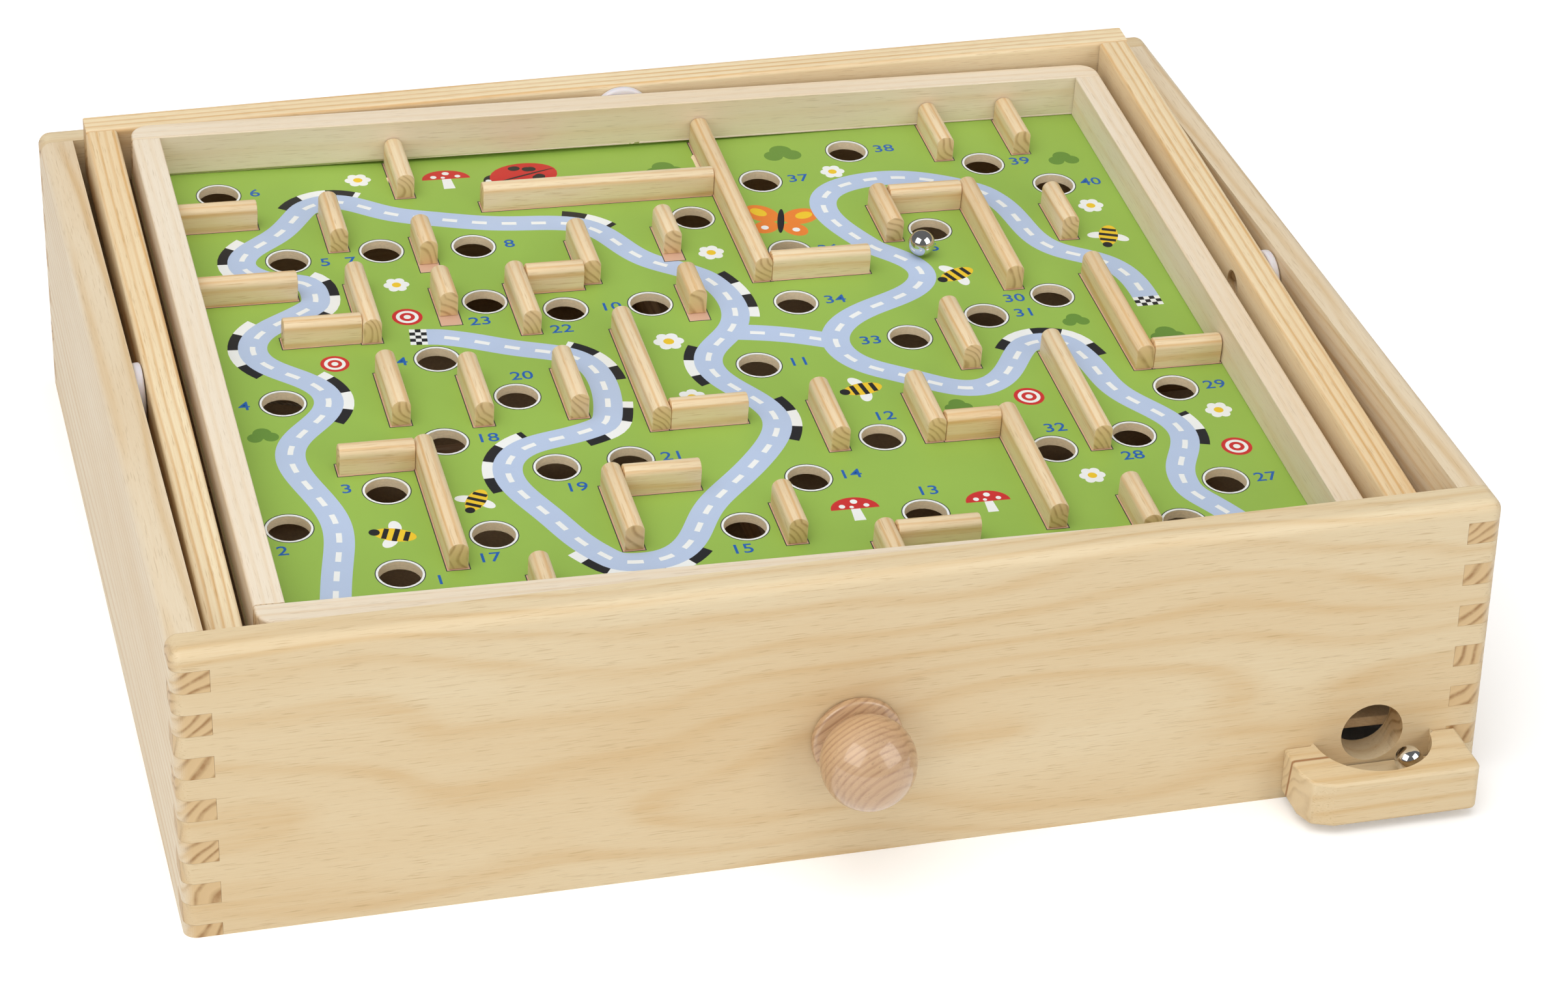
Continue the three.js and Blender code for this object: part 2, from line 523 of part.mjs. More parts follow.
// Route in a plane: 'across' runs towards the end peg, 'along' follows the rod
function windCord(name, startPeg, endPeg, rodZ, across, along) {
  const rod = new THREE.Vector3(0, 0, rodZ).addScaledVector(along, startPeg.dot(along));
  const lift = new THREE.Vector3(0, 0, 1);
  const towards = startPeg.clone().sub(rod).normalize();
  const springStart = startPeg.clone().addScaledVector(towards, -pegReach);
  const springEnd = springStart.clone().addScaledVector(towards, -SPRING_LENGTH);
  const points = [springEnd.clone().addScaledVector(towards, -TOUCH_GAP)];
  for (let i = 0; i <= CORD_TURNS * TURN_STEPS; i += 1) {
    const angle = -Math.PI / 2 + i * 2 * Math.PI / TURN_STEPS;
    const point = rod.clone().addScaledVector(across, windR * Math.cos(angle));
    point.addScaledVector(lift, windR * Math.sin(angle));
    points.push(point.addScaledVector(along, CORD_PITCH * (i / TURN_STEPS - CORD_TURNS / 2)));
  }
  const runEnd = endPeg.clone().sub(points[points.length - 1]).normalize();
  points.push(endPeg.clone().addScaledVector(runEnd, -pegReach));
  place(box, `${name}_cord`, tube(points), CORD);
  const springR = SPRING_DIAMETER / 2;
  const spring = new THREE.CylinderGeometry(springR, springR, SPRING_LENGTH, SHANK_SIDES);
  const mesh = place(box, `${name}_spring`, geometryOf(solid(spring)), STEEL);
  mesh.position.copy(springStart).add(springEnd).multiplyScalar(1 / 2);
  mesh.quaternion.setFromUnitVectors(new THREE.Vector3(0, 1, 0), towards);
}

// A closed round tube through the points, each ring square to the route there
function tube(points) {
  const radius = CORD_DIAMETER / 2;
  const positions = [];
  const index = [];
  const side = new THREE.Vector3(0, 0, 1).cross(points[1].clone().sub(points[0])).normalize();
  points.forEach((point, i) => {
    const next = points[Math.min(i + 1, points.length - 1)];
    const along = next.clone().sub(points[Math.max(i - 1, 0)]).normalize();
    side.addScaledVector(along, -side.dot(along)).normalize();
    const up = along.clone().cross(side);
    for (let k = 0; k < CORD_SIDES; k += 1) {
      const angle = 2 * Math.PI * k / CORD_SIDES;
      const corner = point.clone().addScaledVector(side, radius * Math.cos(angle));
      corner.addScaledVector(up, radius * Math.sin(angle));
      positions.push(corner.x, corner.y, corner.z);
    }
  });
  const lastRing = (points.length - 1) * CORD_SIDES;
  for (let a = 0; a < lastRing; a += 1) {
    const b = a % CORD_SIDES === CORD_SIDES - 1 ? a + 1 - CORD_SIDES : a + 1;
    index.push(a, b, a + CORD_SIDES, b, b + CORD_SIDES, a + CORD_SIDES);
  }
  for (let k = 1; k + 1 < CORD_SIDES; k += 1) {
    index.push(0, k + 1, k);
    index.push(lastRing, lastRing + k, lastRing + k + 1);
  }
  const geometry = new THREE.BufferGeometry();
  geometry.setAttribute('position', new THREE.Float32BufferAttribute(positions, 3));
  geometry.setIndex(index);
  geometry.computeVertexNormals();
  return geometry;
}

const ringTurn = new THREE.Euler(RING_TILT, 0, 0);
const trayTurn = new THREE.Euler(RING_TILT, TRAY_TILT, 0);
const ringPegZ = -RING_HEIGHT / 2 - PEG_TIE;
const trayPegZ = PLAY_TOP - PLAYFIELD_T - PEG_TIE;
const ringPegs = [-1, 1].map((end) => (
  boxPoint(new THREE.Vector3(RING_CORD_X, end * ringPegY, ringPegZ), ringTurn)));
const trayPegs = [-1, 1].map((side) => (
  boxPoint(new THREE.Vector3(side * trayPegX, TRAY_CORD_Y, trayPegZ), trayTurn)));
const alongX = new THREE.Vector3(1, 0, 0);
const alongY = new THREE.Vector3(0, 1, 0);
windCord('ring', ringPegs[0], ringPegs[1], SIDE_ROD_Z, alongY, alongX);
windCord('tray', trayPegs[0], trayPegs[1], FRONT_ROD_Z, alongX, alongY);

export default root;
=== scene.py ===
"""Marble labyrinth game: pine box, tilting ring, maze tray, printed playfield, knobs, pivots, balls and cords."""

from functools import cache

import bpy
import numpy as np
from bpy.props import FloatProperty, FloatVectorProperty, IntProperty, PointerProperty
from mathutils import Matrix, Vector
from mathutils.geometry import delaunay_2d_cdt


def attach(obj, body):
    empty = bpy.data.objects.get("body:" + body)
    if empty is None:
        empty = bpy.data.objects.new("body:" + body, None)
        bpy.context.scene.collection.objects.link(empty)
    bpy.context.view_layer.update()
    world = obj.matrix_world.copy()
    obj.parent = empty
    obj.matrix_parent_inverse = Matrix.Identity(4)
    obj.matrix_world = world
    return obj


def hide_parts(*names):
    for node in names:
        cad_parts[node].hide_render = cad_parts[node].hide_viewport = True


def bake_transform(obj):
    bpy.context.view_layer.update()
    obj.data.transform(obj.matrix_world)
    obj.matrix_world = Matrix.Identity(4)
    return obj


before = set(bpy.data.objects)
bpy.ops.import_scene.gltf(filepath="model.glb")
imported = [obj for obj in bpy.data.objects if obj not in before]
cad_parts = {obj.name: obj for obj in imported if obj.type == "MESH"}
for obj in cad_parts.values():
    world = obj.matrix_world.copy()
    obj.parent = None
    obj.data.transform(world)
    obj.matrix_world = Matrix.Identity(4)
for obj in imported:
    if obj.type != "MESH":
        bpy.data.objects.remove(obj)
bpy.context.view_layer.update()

bl_info = {
    "name": "Marble labyrinth game",
    "version": (1, 0, 0),
    "blender": (4, 5, 0),
    "location": "View3D > Sidebar > Labyrinth",
    "description": "Builds a wooden tilting maze game with its printed playfield, knobs, balls and cords",
    "category": "Object",
}

# Lengths below are in millimetres, Blender's are in metres
MM = 0.001
TINY = 1e-9

# Edges turned by more than the first angle in degrees stay sharp, and bevels soften those past the second
SHARP_EDGE = 35
BEVEL_EDGE = 40

# Box
BOX_WIDTH = 360
BOX_DEPTH = 311.5
BOX_HEIGHT = 87.5
BOARD_T = 10
FINGER_HEIGHT = 6.5
FINGER_TOP = 5.6
SHIFT_X = -13.15
SHIFT_Y = 13.15
INNER_WIDTH = BOX_WIDTH - 2 * BOARD_T
INNER_DEPTH = BOX_DEPTH - 2 * BOARD_T

# Ring, tray and their tilts at rest
PIVOT_DROP = 11
PIVOT_Z = BOX_HEIGHT - PIVOT_DROP
RING_TILT = np.radians(4.5)
TRAY_TILT = np.radians(1.5)
RING_T = 9.5
RING_HEIGHT = 19
RING_CORNER_R = 1.6
RING_GAP_X = 3
RING_GAP_Y = 2.75
RING_WIDTH = INNER_WIDTH - 2 * RING_GAP_X
RING_DEPTH = INNER_DEPTH - 2 * RING_GAP_Y
TRAY_GAP = 3
TRAY_WIDTH = RING_WIDTH - 2 * (RING_T + TRAY_GAP)
TRAY_DEPTH = RING_DEPTH - 2 * (RING_T + TRAY_GAP)
TRAY_WALL_T = 8.4
TRAY_WALL_HEIGHT = 13.9
TRAY_TOP = 8.1
TRAY_CORNER_R = 6
PLAY_TOP = TRAY_TOP - TRAY_WALL_HEIGHT
PLAY_WIDTH = TRAY_WIDTH - 2 * TRAY_WALL_T
PLAY_DEPTH = TRAY_DEPTH - 2 * TRAY_WALL_T
PLAY_SIZE = np.array([PLAY_WIDTH, PLAY_DEPTH])
PLAYFIELD_T = 2.5
SHEET_T = 0.2
SHEET_TOP = PLAY_TOP + SHEET_T
SHEET_LIFT = 0.01
HOLE_R = 6
SHORT_GAP = 0.3
SAG_X = -30
SAG_WIDTH = 60
SAG_DEPTH = 9

# A round hole starts as a square gap in a board's grid, its half side this share of the radius, and is drawn
# out to the circle; the pull fades to nothing at the reach
HOLE_CORE = 0.8
HOLE_REACH = 1.5

# How far a flat net's loose points keep from the playfield's holes
NET_CLEAR = 1.5

# Sticks of the maze
MAZE_T = 5.6
MAZE_HEIGHT = 8.5
MAZE_SHOULDER_SHARE = 0.72
MAZE_SHOULDER = MAZE_SHOULDER_SHARE * MAZE_HEIGHT
GLUE_GAP = 0.05

# Turned and moulded parts
ROD_R = 3.5
ROD_HOLE_R = 3.75
SHANK_R = 4
SHANK_HOLE_R = 4.25
SHANK_LENGTH = 6
FLANGE_R = 9.3
FLANGE_T = 2.4
FLANGE_DOME = 0.8
KNOB_R = 13
KNOB_COLLAR_R = 12.5
KNOB_COLLAR_T = 3
KNOB_NECK_R = 9
KNOB_LENGTH = 26
KNOB_BORE = 16
KNOB_SOFT = 0.9
KNOB_GRAIN_TURN = np.radians(-55)
ROD_SEAT = 6
CHAMFER = 0.5
FRONT_ROD_Z = 38
SIDE_ROD_Z = 46

# Ball exit, catch block and floor
BALL_R = 4
EXIT_R = 9
EXIT_X = 148
EXIT_Z = 18
CATCH_LEFT = 122.5
CATCH_RIGHT = 172.5
CATCH_DEPTH = 20.5
CATCH_HEIGHT = 13.5
CATCH_LIFT = 2.8
CATCH_CUT = 8
CATCH_CORNER_R = 2.5
POCKET_R = 17.3
POCKET_DEPTH = 8
FLOOR_T = 3
FLOOR_EXIT_Z = 16
FLOOR_SLOPE_Y = 0.045
FLOOR_SLOPE_X = 0.02
PLAY_BALL = (74, 45)
RETURN_BALL = (156.5, 7.5)

# Cords, springs and pegs
CORD_R = 0.5
CORD_TURNS = 2
CORD_PITCH = 1.6
SPRING_R = 2.5
SPRING_LENGTH = 14
SPRING_WIRE_R = 0.35
SPRING_LOOP_RISE = 0.8
PEG_R = 1.5
PEG_LENGTH = 8
PEG_TIE = 6
PEG_INSET = 4.7
PEG_ROOT = 1
RING_CORD_X = -40
TRAY_CORD_Y = 12

BOX_PLACE = Matrix.Translation((SHIFT_X, SHIFT_Y, 0))
RING_PLACE = Matrix.Translation((SHIFT_X, SHIFT_Y, PIVOT_Z)) @ Matrix.Rotation(RING_TILT, 4, "X")
TRAY_PLACE = RING_PLACE @ Matrix.Rotation(TRAY_TILT, 4, "Y")

# Where the bodies' own axes stand at rest; the knobs and the returned ball are measured from the box's
PLACES = {"box": BOX_PLACE, "front_knob": BOX_PLACE, "side_knob": BOX_PLACE, "return_ball": BOX_PLACE,
          "ring": RING_PLACE, "tray": TRAY_PLACE, "play_ball": TRAY_PLACE}

# Hole places from the playfield's middle: shares of its width and depth, times its size
HOLES = PLAY_SIZE * [
    [-0.446, 0.443], [-0.395, 0.277], [-0.441, -0.034], [-0.368, -0.228], [-0.468, -0.285],
    [-0.379, -0.390], [-0.282, -0.332], [-0.198, -0.455], [-0.201, -0.211], [-0.298, -0.140],
    [-0.214, -0.059], [-0.134, 0.121], [-0.279, 0.034], [-0.212, 0.152], [-0.298, 0.285],
    [-0.203, 0.280], [0.035, 0.310], [-0.047, 0.119], [0.101, 0.097], [0.035, -0.034],
    [0.123, -0.206], [-0.128, -0.208], [0.034, -0.275], [-0.046, -0.359], [0.130, -0.364],
    [0.372, -0.427], [0.285, -0.452], [0.285, -0.260], [0.435, -0.353], [0.370, -0.244],
    [0.439, -0.155], [0.367, 0.068], [0.288, 0.034], [0.199, 0.000], [0.277, 0.241],
    [0.120, 0.214], [0.124, 0.387], [0.232, 0.446], [0.372, 0.391], [0.436, 0.328],
]

# Maze sticks, by cluster: start and end of each centre line, as shares of the playfield's width and depth
MAZE_shares = [
    [[-0.500, 0.368, -0.416, 0.368]],
    [[-0.500, 0.197, -0.397, 0.197]],
    [[-0.425, 0.093, -0.337, 0.093], [-0.337, 0.079, -0.337, 0.213]],
    [[-0.341, 0.290, -0.341, 0.381]],
    [[-0.255, 0.406, -0.255, 0.500]],
    [[-0.255, 0.246, -0.255, 0.311]],
    [[-0.003, 0.229, -0.003, 0.294]],
    [[-0.253, 0.126, -0.253, 0.190]],
    [[-0.177, 0.072, -0.177, 0.188], [-0.177, 0.174, -0.088, 0.174], [-0.098, 0.174, -0.098, 0.276]],
    [[-0.088, -0.154, -0.088, 0.068], [-0.088, -0.142, -0.001, -0.142]],
    [[-0.004, 0.089, -0.004, 0.156]],
    [[-0.335, -0.100, -0.335, 0.013]],
    [[-0.256, -0.115, -0.256, -0.005]],
    [[-0.162, -0.115, -0.162, -0.007]],
    [[-0.408, -0.180, -0.325, -0.180], [-0.325, -0.391, -0.325, -0.169]],
    [[-0.158, -0.385, -0.158, -0.257], [-0.158, -0.268, -0.073, -0.268]],
    [[-0.255, -0.500, -0.255, -0.415]],
    [[-0.004, -0.401, -0.004, -0.319]],
    [[-0.180, 0.372, 0.077, 0.372], [0.077, 0.150, 0.077, 0.500], [0.077, 0.162, 0.191, 0.162]],
    [[0.233, 0.220, 0.233, 0.308], [0.233, 0.297, 0.331, 0.297], [0.331, 0.089, 0.331, 0.308]],
    [[0.332, 0.406, 0.332, 0.500]],
    [[0.419, 0.409, 0.419, 0.500]],
    [[0.418, 0.194, 0.418, 0.282]],
    [[0.245, -0.078, 0.245, 0.035]],
    [[0.418, -0.110, 0.418, 0.111], [0.418, -0.098, 0.500, -0.098]],
    [[0.076, -0.226, 0.076, -0.118]],
    [[0.173, -0.225, 0.173, -0.120], [0.164, -0.214, 0.248, -0.214], [0.248, -0.416, 0.248, -0.203]],
    [[0.331, -0.269, 0.331, -0.055]],
    [[0.331, -0.454, 0.331, -0.364]],
    [[0.076, -0.500, 0.076, -0.411], [0.076, -0.423, 0.167, -0.423]],
]

# Windows in the printed sheet that are longer than their stick: cluster number and bare length in front
LONG_WINDOWS = {6: 4, 7: 3.7, 8: 4.8, 11: 3.5}

# Printed roads: waypoints as shares of the playfield's width and depth
ROAD_shares = [
    [
        (-0.447, -0.447), (-0.436, -0.370), (-0.416, -0.288), (-0.436, -0.217), (-0.457, -0.155),
        (-0.450, -0.109), (-0.402, -0.073), (-0.382, -0.032), (-0.406, 0.014), (-0.457, 0.044),
        (-0.467, 0.080), (-0.449, 0.131), (-0.402, 0.147), (-0.370, 0.178), (-0.380, 0.224),
        (-0.427, 0.232), (-0.459, 0.270), (-0.436, 0.316), (-0.389, 0.331), (-0.376, 0.387),
        (-0.342, 0.428), (-0.302, 0.403), (-0.286, 0.362), (-0.243, 0.360), (-0.201, 0.336),
        (-0.158, 0.324), (-0.106, 0.326), (-0.068, 0.316), (-0.055, 0.265), (-0.038, 0.208),
        (0.013, 0.193), (0.036, 0.147), (0.041, 0.080), (0.030, 0.039), (-0.008, 0.019),
        (-0.025, -0.012), (-0.017, -0.058), (0.022, -0.104), (0.041, -0.155), (0.013, -0.201),
        (-0.029, -0.263), (-0.081, -0.314), (-0.094, -0.380), (-0.132, -0.421), (-0.179, -0.406),
        (-0.209, -0.365), (-0.218, -0.309), (-0.243, -0.263), (-0.260, -0.217), (-0.243, -0.165),
        (-0.205, -0.150), (-0.162, -0.155), (-0.128, -0.119), (-0.124, -0.053), (-0.124, 0.009),
        (-0.153, 0.034), (-0.196, 0.034), (-0.243, 0.078), (-0.290, 0.085),
    ],
    [
        (0.452, -0.500), (0.415, -0.400), (0.381, -0.329), (0.415, -0.288), (0.433, -0.247),
        (0.407, -0.196), (0.368, -0.155), (0.373, -0.073), (0.338, -0.012), (0.300, -0.032),
        (0.287, -0.094), (0.244, -0.137), (0.206, -0.114), (0.176, -0.073), (0.133, -0.063),
        (0.109, 0.009), (0.150, 0.065), (0.236, 0.101), (0.261, 0.147), (0.223, 0.198),
        (0.184, 0.254), (0.167, 0.316), (0.184, 0.362), (0.274, 0.382), (0.321, 0.352),
        (0.364, 0.326), (0.377, 0.265), (0.377, 0.193), (0.398, 0.157), (0.445, 0.152),
        (0.465, 0.101), (0.463, 0.039),
    ],
    [(0.125, 0.002), (0.073, 0.033), (0.016, 0.044)],
]

# Printed pictures: kind, place and size in millimetres on the playfield, and turn in degrees
PICTURES = [
    ("ladybird", -36, 108, 12, 20), ("butterfly", 42, 72, 12, -15), ("toadstool", -60, 109, 7.5, 0),
    ("toadstool", 19, -84, 7, 0), ("toadstool", 57, -86, 6.5, 0), ("bee", 78, 33, 6, 25),
    ("bee", -109, -77, 6, -20), ("bee", 37, -25, 6, 10), ("bee", 135, 48, 6, 70), ("bee", -84, -64, 5.5, 60),
    ("target", 84, -36, 4.5, 0), ("target", -86, 32, 4.5, 0), ("target", -111, 10, 4.2, 0),
    ("target", -117, -112, 4.2, 0), ("target", 136, -70, 4.5, 0),
    ("flower", -13, 8, 4.5, 0), ("flower", -13, -22, 4, 20), ("flower", 135, 66, 4, 0),
    ("flower", 11, 55, 4, 10), ("flower", -86, 50, 3.8, 0), ("flower", 137, -51, 4, 0),
    ("flower", -87, 112, 4, 0), ("flower", 90, -78, 3.8, 0), ("flower", 61, 94, 3.8, 0),
    ("bush", 47, 110, 6, 0), ("bush", -99, -110, 6, 0), ("bush", -30, -111, 5.5, 0),
    ("bush", 8, 105, 6, 0), ("bush", 135, 95, 5, 0), ("bush", 135, -10, 5.5, 0),
    ("bush", -137, -24, 4.5, 0), ("bush", 62, -38, 4.2, 0), ("bush", 110, 2, 4.2, 0),
]

# Step of the roads' middle lines. Kerbs stand where the road turns this many degrees within the reach on both
# sides, for at least this many steps, and each block is a few steps long
ROAD_STEP = 1.5
KERB_TURN = 44
KERB_REACH = 8
KERB_SHORTEST = 9
KERB_STEPS = 4

# Printed outlines of holes, a dark rim round each stick's window that paints the sheet's cut edge and its shade, and
# the bare board left beside each stick
OUTLINE = 0.3
STICK_GAP = 0.3

# How far print keeps clear of a hole's rim; a road, a kerb and a picture of what is beside them; and a picture of
# the playfield's edge
RIM_CLEAR = 0.7
ROAD_CLEAR = 1.2
KERB_CLEAR = 0.3
PICTURE_CLEAR = 0.4
EDGE_CLEAR = 0.5

# Share of the way out of what is too close that each round takes, and the farthest that a road is pushed
PUSH_SHARE = 0.3
LONGEST_PUSH = 1.5

# How much wider than drawn each figure is, how much bolder its strokes and how thick its ink; the half sizes
# of the boxes that one and two figures fill, and how far from a hole's middle they may stand
FIGURE_WIDER = 1.15
FIGURE_BOLDER = 0.05
FIGURE_T = 0.02
ONE_FIGURE = (2.2, 2.8)
TWO_FIGURES = (4.2, 2.8)
FIGURE_DISTANCES = (11, 12, 13.5, 15)

# Printing inks, in the order of their slots
INKS = {
    "green": (152, 188, 80), "road_blue": (184, 201, 229), "white": (240, 242, 240), "black": (38, 38, 42),
    "red": (205, 45, 45), "yellow": (240, 200, 40), "orange": (236, 132, 48), "leaf_green": (104, 146, 58),
    # The outline ink prints the holes' outlines, and round the windows it paints the sheet's cut edge and its shade
    "bare_board": (218, 176, 150), "outline": (52, 58, 60),
}

# Sawn woods: colours of early wood, late wood and sawn ends; spacing of the growth rings, the line they grow round
# beside the piece's middle, and how strongly they show; their spacing on sawn ends and how far they bend
WOODS = {
    "box_pine": dict(early=(230, 212, 176), late=(210, 173, 117), ends=(214, 182, 134), spacing=5, pith=(58, 8),
                     share=0.55, end_spacing=2.6, bend=6),
    "side_pine": dict(early=(236, 221, 194), late=(213, 180, 130), ends=(217, 186, 138), spacing=3.2,
                      pith=(-58, 62), share=0.8, end_spacing=3.4, bend=2, curl=3),
    "catch_pine": dict(early=(230, 212, 176), late=(208, 171, 114), ends=(226, 204, 164), spacing=4,
                       pith=(30, 30), share=0.6, end_spacing=4, bend=2, contrast=0.4, resin=(8.8, 24)),
    "ring_sawn_pine": dict(early=(247, 233, 198), late=(216, 167, 98), ends=(212, 178, 126), spacing=2.5,
                           pith=(160, 12), share=0.9, end_spacing=2, bend=1),
    "pale_tray_wood": dict(early=(240, 228, 208), late=(225, 198, 158), ends=(214, 188, 148), spacing=2.9,
                           pith=(90, 30), share=0.5, end_spacing=1.9, bend=1),
    "stick_pine": dict(early=(240, 223, 188), late=(216, 168, 102), ends=(230, 197, 147), spacing=2.3,
                       pith=(40, 14), share=0.8, end_spacing=1.8, bend=1, curl=4, contrast=0.7),
    "lacquered_beech": dict(early=(214, 179, 138), late=(172, 132, 98), ends=(190, 150, 110), spacing=1.7,
                            pith=(34, 30), share=1, end_spacing=1.7, bend=0.6, roughness=0.4, gloss=1),
}

# Lamps: place, aim and size in metres, the setting that holds its power, and whether only reflections show it
LAMPS = {
    "overhead_lamp": ((-0.5, -0.35, 1.9), (0, 0, 0.03), 2.2, "key_power", False),
    "front_left_lamp": ((-1.3, -1.9, 0.75), (0, -0.1, 0.04), 0.9, "fill_power", False),
    "front_right_lamp": ((1.1, -2.1, 0.9), (0, -0.1, 0.04), 0.9, "fill_power", False),
    "left_softbox": ((-1.5, -0.92, 1.61), (0.07, 0.06, 0.08), 1.9, "softbox_power", True),
    "right_softbox": ((1.58, -1.31, 1.35), (0.07, 0.06, 0.08), 1.9, "softbox_power", True),
}


def srgb(red, green, blue):
    """Linear colour of a written one: each of its 0 to 255 channels by the display curve."""
    share = np.array([red, green, blue]) / 255
    low = share / 12.92
    high = ((share + 0.055) / 1.055) ** 2.4
    return tuple(np.where(share <= 0.04045, low, high))


def matrix_parts(place):
    """Turn and shift of a placing matrix, as arrays."""
    whole = np.array(place)
    return whole[:3, :3], whole[:3, 3]


class Surface:
    """Points in mm with faces of any size, and for each point its place in the wood, for each face its end grain."""

    def __init__(self, points, *faces):
        self.points = np.asarray(points, float)
        self.faces = [np.asarray(part, int) for part in faces if len(part)]
        self.grain = self.points.copy()
        self.end = np.zeros(sum(len(part) for part in self.faces))
        self.ink = np.zeros(len(self.end), int)

    def moved(self, place):
        """The same surface, turned and shifted by a matrix; its wood goes with it."""
        turn, shift = matrix_parts(place)
        self.points = self.points @ turn.T + shift
        return self

    def cut_along(self, axis, seed):
        """Wood coordinates from the piece's middle: along the grain first, shifted by the piece's own seed; a
        face's end grain is how squarely it faces along the grain."""
        order = {0: (0, 1, 2), 1: (1, 0, 2), 2: (2, 0, 1)}[axis]
        middle = (self.points.min(axis=0) + self.points.max(axis=0)) / 2
        shift = seed * np.array([173.13, 7.7, 5.9]) % [997, 5, 7]
        self.grain = (self.points - middle)[:, order] + shift
        ends = []
        for part in self.faces:
            step = part.shape[1] // 3 if part.shape[1] > 5 else 1
            first, second, third = (self.points[part[:, i]] for i in (0, step, 2 * step))
            normal = np.cross(second - first, third - first)
            length = np.linalg.norm(normal, axis=1)
            ends.append(np.abs(normal[:, axis]) / np.maximum(length, TINY))
        self.end = np.concatenate(ends) ** 4
        return self


def joined(surfaces):
    """One surface of several: the later ones' point numbers follow on from the earlier ones'."""
    points = np.concatenate([part.points for part in surfaces])
    firsts = np.cumsum([0] + [len(part.points) for part in surfaces[:-1]])
    faces = [face + first for part, first in zip(surfaces, firsts) for face in part.faces]
    whole = Surface(points, *faces)
    for key in ("grain", "end", "ink"):
        setattr(whole, key, np.concatenate([getattr(part, key) for part in surfaces]))
    return whole


def make_piece(name, surface, body, materials, nodes=(), bevel=0.0, placed=False):
    """Object from a surface: its points, if they aren't placed yet, go from the body's axes into the row frame, so
    the object stays at the origin. A piece given no body rides on none."""
    turn, shift = matrix_parts(Matrix.Identity(4) if placed else PLACES[body])
    world = (surface.points @ turn.T + shift) * MM
    mesh = bpy.data.meshes.new(name)
    mesh.vertices.add(len(world))
    mesh.vertices.foreach_set("co", world.astype(np.float32).ravel())
    corners = np.concatenate([part.ravel() for part in surface.faces])
    sizes = np.concatenate([np.full(len(part), part.shape[1]) for part in surface.faces])
    mesh.loops.add(len(corners))
    mesh.loops.foreach_set("vertex_index", corners.astype(np.int32))
    mesh.polygons.add(len(sizes))
    mesh.polygons.foreach_set("loop_start", (np.cumsum(sizes) - sizes).astype(np.int32))
    mesh.update(calc_edges=True)
    grain = mesh.attributes.new("grain", "FLOAT_VECTOR", "POINT")
    grain.data.foreach_set("vector", surface.grain.astype(np.float32).ravel())
    end = mesh.attributes.new("end_grain", "FLOAT", "FACE")
    end.data.foreach_set("value", surface.end.astype(np.float32))
    for material in materials:
        mesh.materials.append(material)
    mesh.polygons.foreach_set("material_index", surface.ink.astype(np.int32))
    mesh.shade_smooth()
    mesh.set_sharp_from_angle(angle=np.radians(SHARP_EDGE))
    piece = bpy.data.objects.new(name, mesh)
    bpy.context.scene.collection.objects.link(piece)
    if bevel:
        edge = piece.modifiers.new("soft_edges", "BEVEL")
        edge.width = bevel * MM
        edge.segments = 2
        edge.limit_method = "ANGLE"
        edge.angle_limit = np.radians(BEVEL_EDGE)
        edge.use_clamp_overlap = False
        edge.material = -1
    if body:
        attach(piece, body)
    if nodes:
        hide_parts(*nodes)
    return piece


# Shapes

def lines(*groups):
    """Grid lines in order, with those that fall together kept once."""
    return np.unique(np.round(np.concatenate([np.atleast_1d(group) for group in groups]), 3))


def round_lines(face, radius, steps=5):
    """Lines beside a face that a rounded edge needs: r (1 - tan) of even angles up to 45 degrees, inward."""
    inward = radius * (1 - np.tan(np.linspace(0, np.pi / 4, steps + 1)))
    return face - np.sign(face) * inward


def both_round(half, radius, steps=5):
    """Lines beside the rounded edges at both ends of a width."""
    return np.concatenate([round_lines(half, radius, steps), round_lines(-half, radius, steps)])


def hole_lines(centre, radius, reach=HOLE_REACH):
    """Lines for a round hole: tangents of even angles across its square, then even steps out to the reach."""
    half = HOLE_CORE * radius
    across = half * np.tan(np.linspace(-np.pi / 4, np.pi / 4, 9))
    outside = np.linspace(half, reach * radius, 4)[1:]
    return centre + np.concatenate([across, outside, -outside])


def in_core(across, up, centre, radius):
    """Whether a cell lies in the square that becomes a round hole."""
    return np.maximum(np.abs(across - centre[0]), np.abs(up - centre[1])) < HOLE_CORE * radius


def open_round(points, axes, centre, radius, reach=HOLE_REACH):
    """The hole's square is drawn out to the circle, and the pull fades to nothing at the reach."""
    flat = points[:, axes] - np.array(centre)
    square = np.abs(flat).max(axis=1)
    length = np.linalg.norm(flat, axis=1)
    half = HOLE_CORE * radius
    pull = np.clip((reach * radius - square) / ((reach - HOLE_CORE) * radius), 0, 1)
    target = square * radius / (half * np.maximum(length, TINY))
    points[:, axes] = np.array(centre) + flat * (1 + pull * (target - 1))[:, None]
    return points


def from_core(flat, limit):
    """Nearest place within the limit, the way from there to the point, and how long that is by its larger offset
    and in truth."""
    core = np.clip(flat, -limit, limit)
    away = flat - core
    return core, away, np.abs(away).max(axis=1), np.maximum(np.linalg.norm(away, axis=1), TINY)


def soften(points, half_width, half_depth, top, corner_r, edge_r):
    """Round the upright corners and the top outer edge of a block: near a corner the larger offset becomes the
    true distance, and near the top edge offset and height are both scaled onto the quarter circle."""
    limit = np.array([half_width, half_depth]) - corner_r
    core, away, square, length = from_core(points[:, :2], limit)
    out = np.maximum(square - (corner_r - edge_r), 0)
    up = np.maximum(points[:, 2] - (top - edge_r), 0)
    scale = np.maximum(out, up) / np.maximum(np.hypot(out, up), TINY)
    reach = np.where(out > 0, corner_r - edge_r + out * scale, square)
    points[:, :2] = core + away * (reach / length)[:, None]
    points[:, 2] += up * (scale - 1) * (up > 0)
    return points


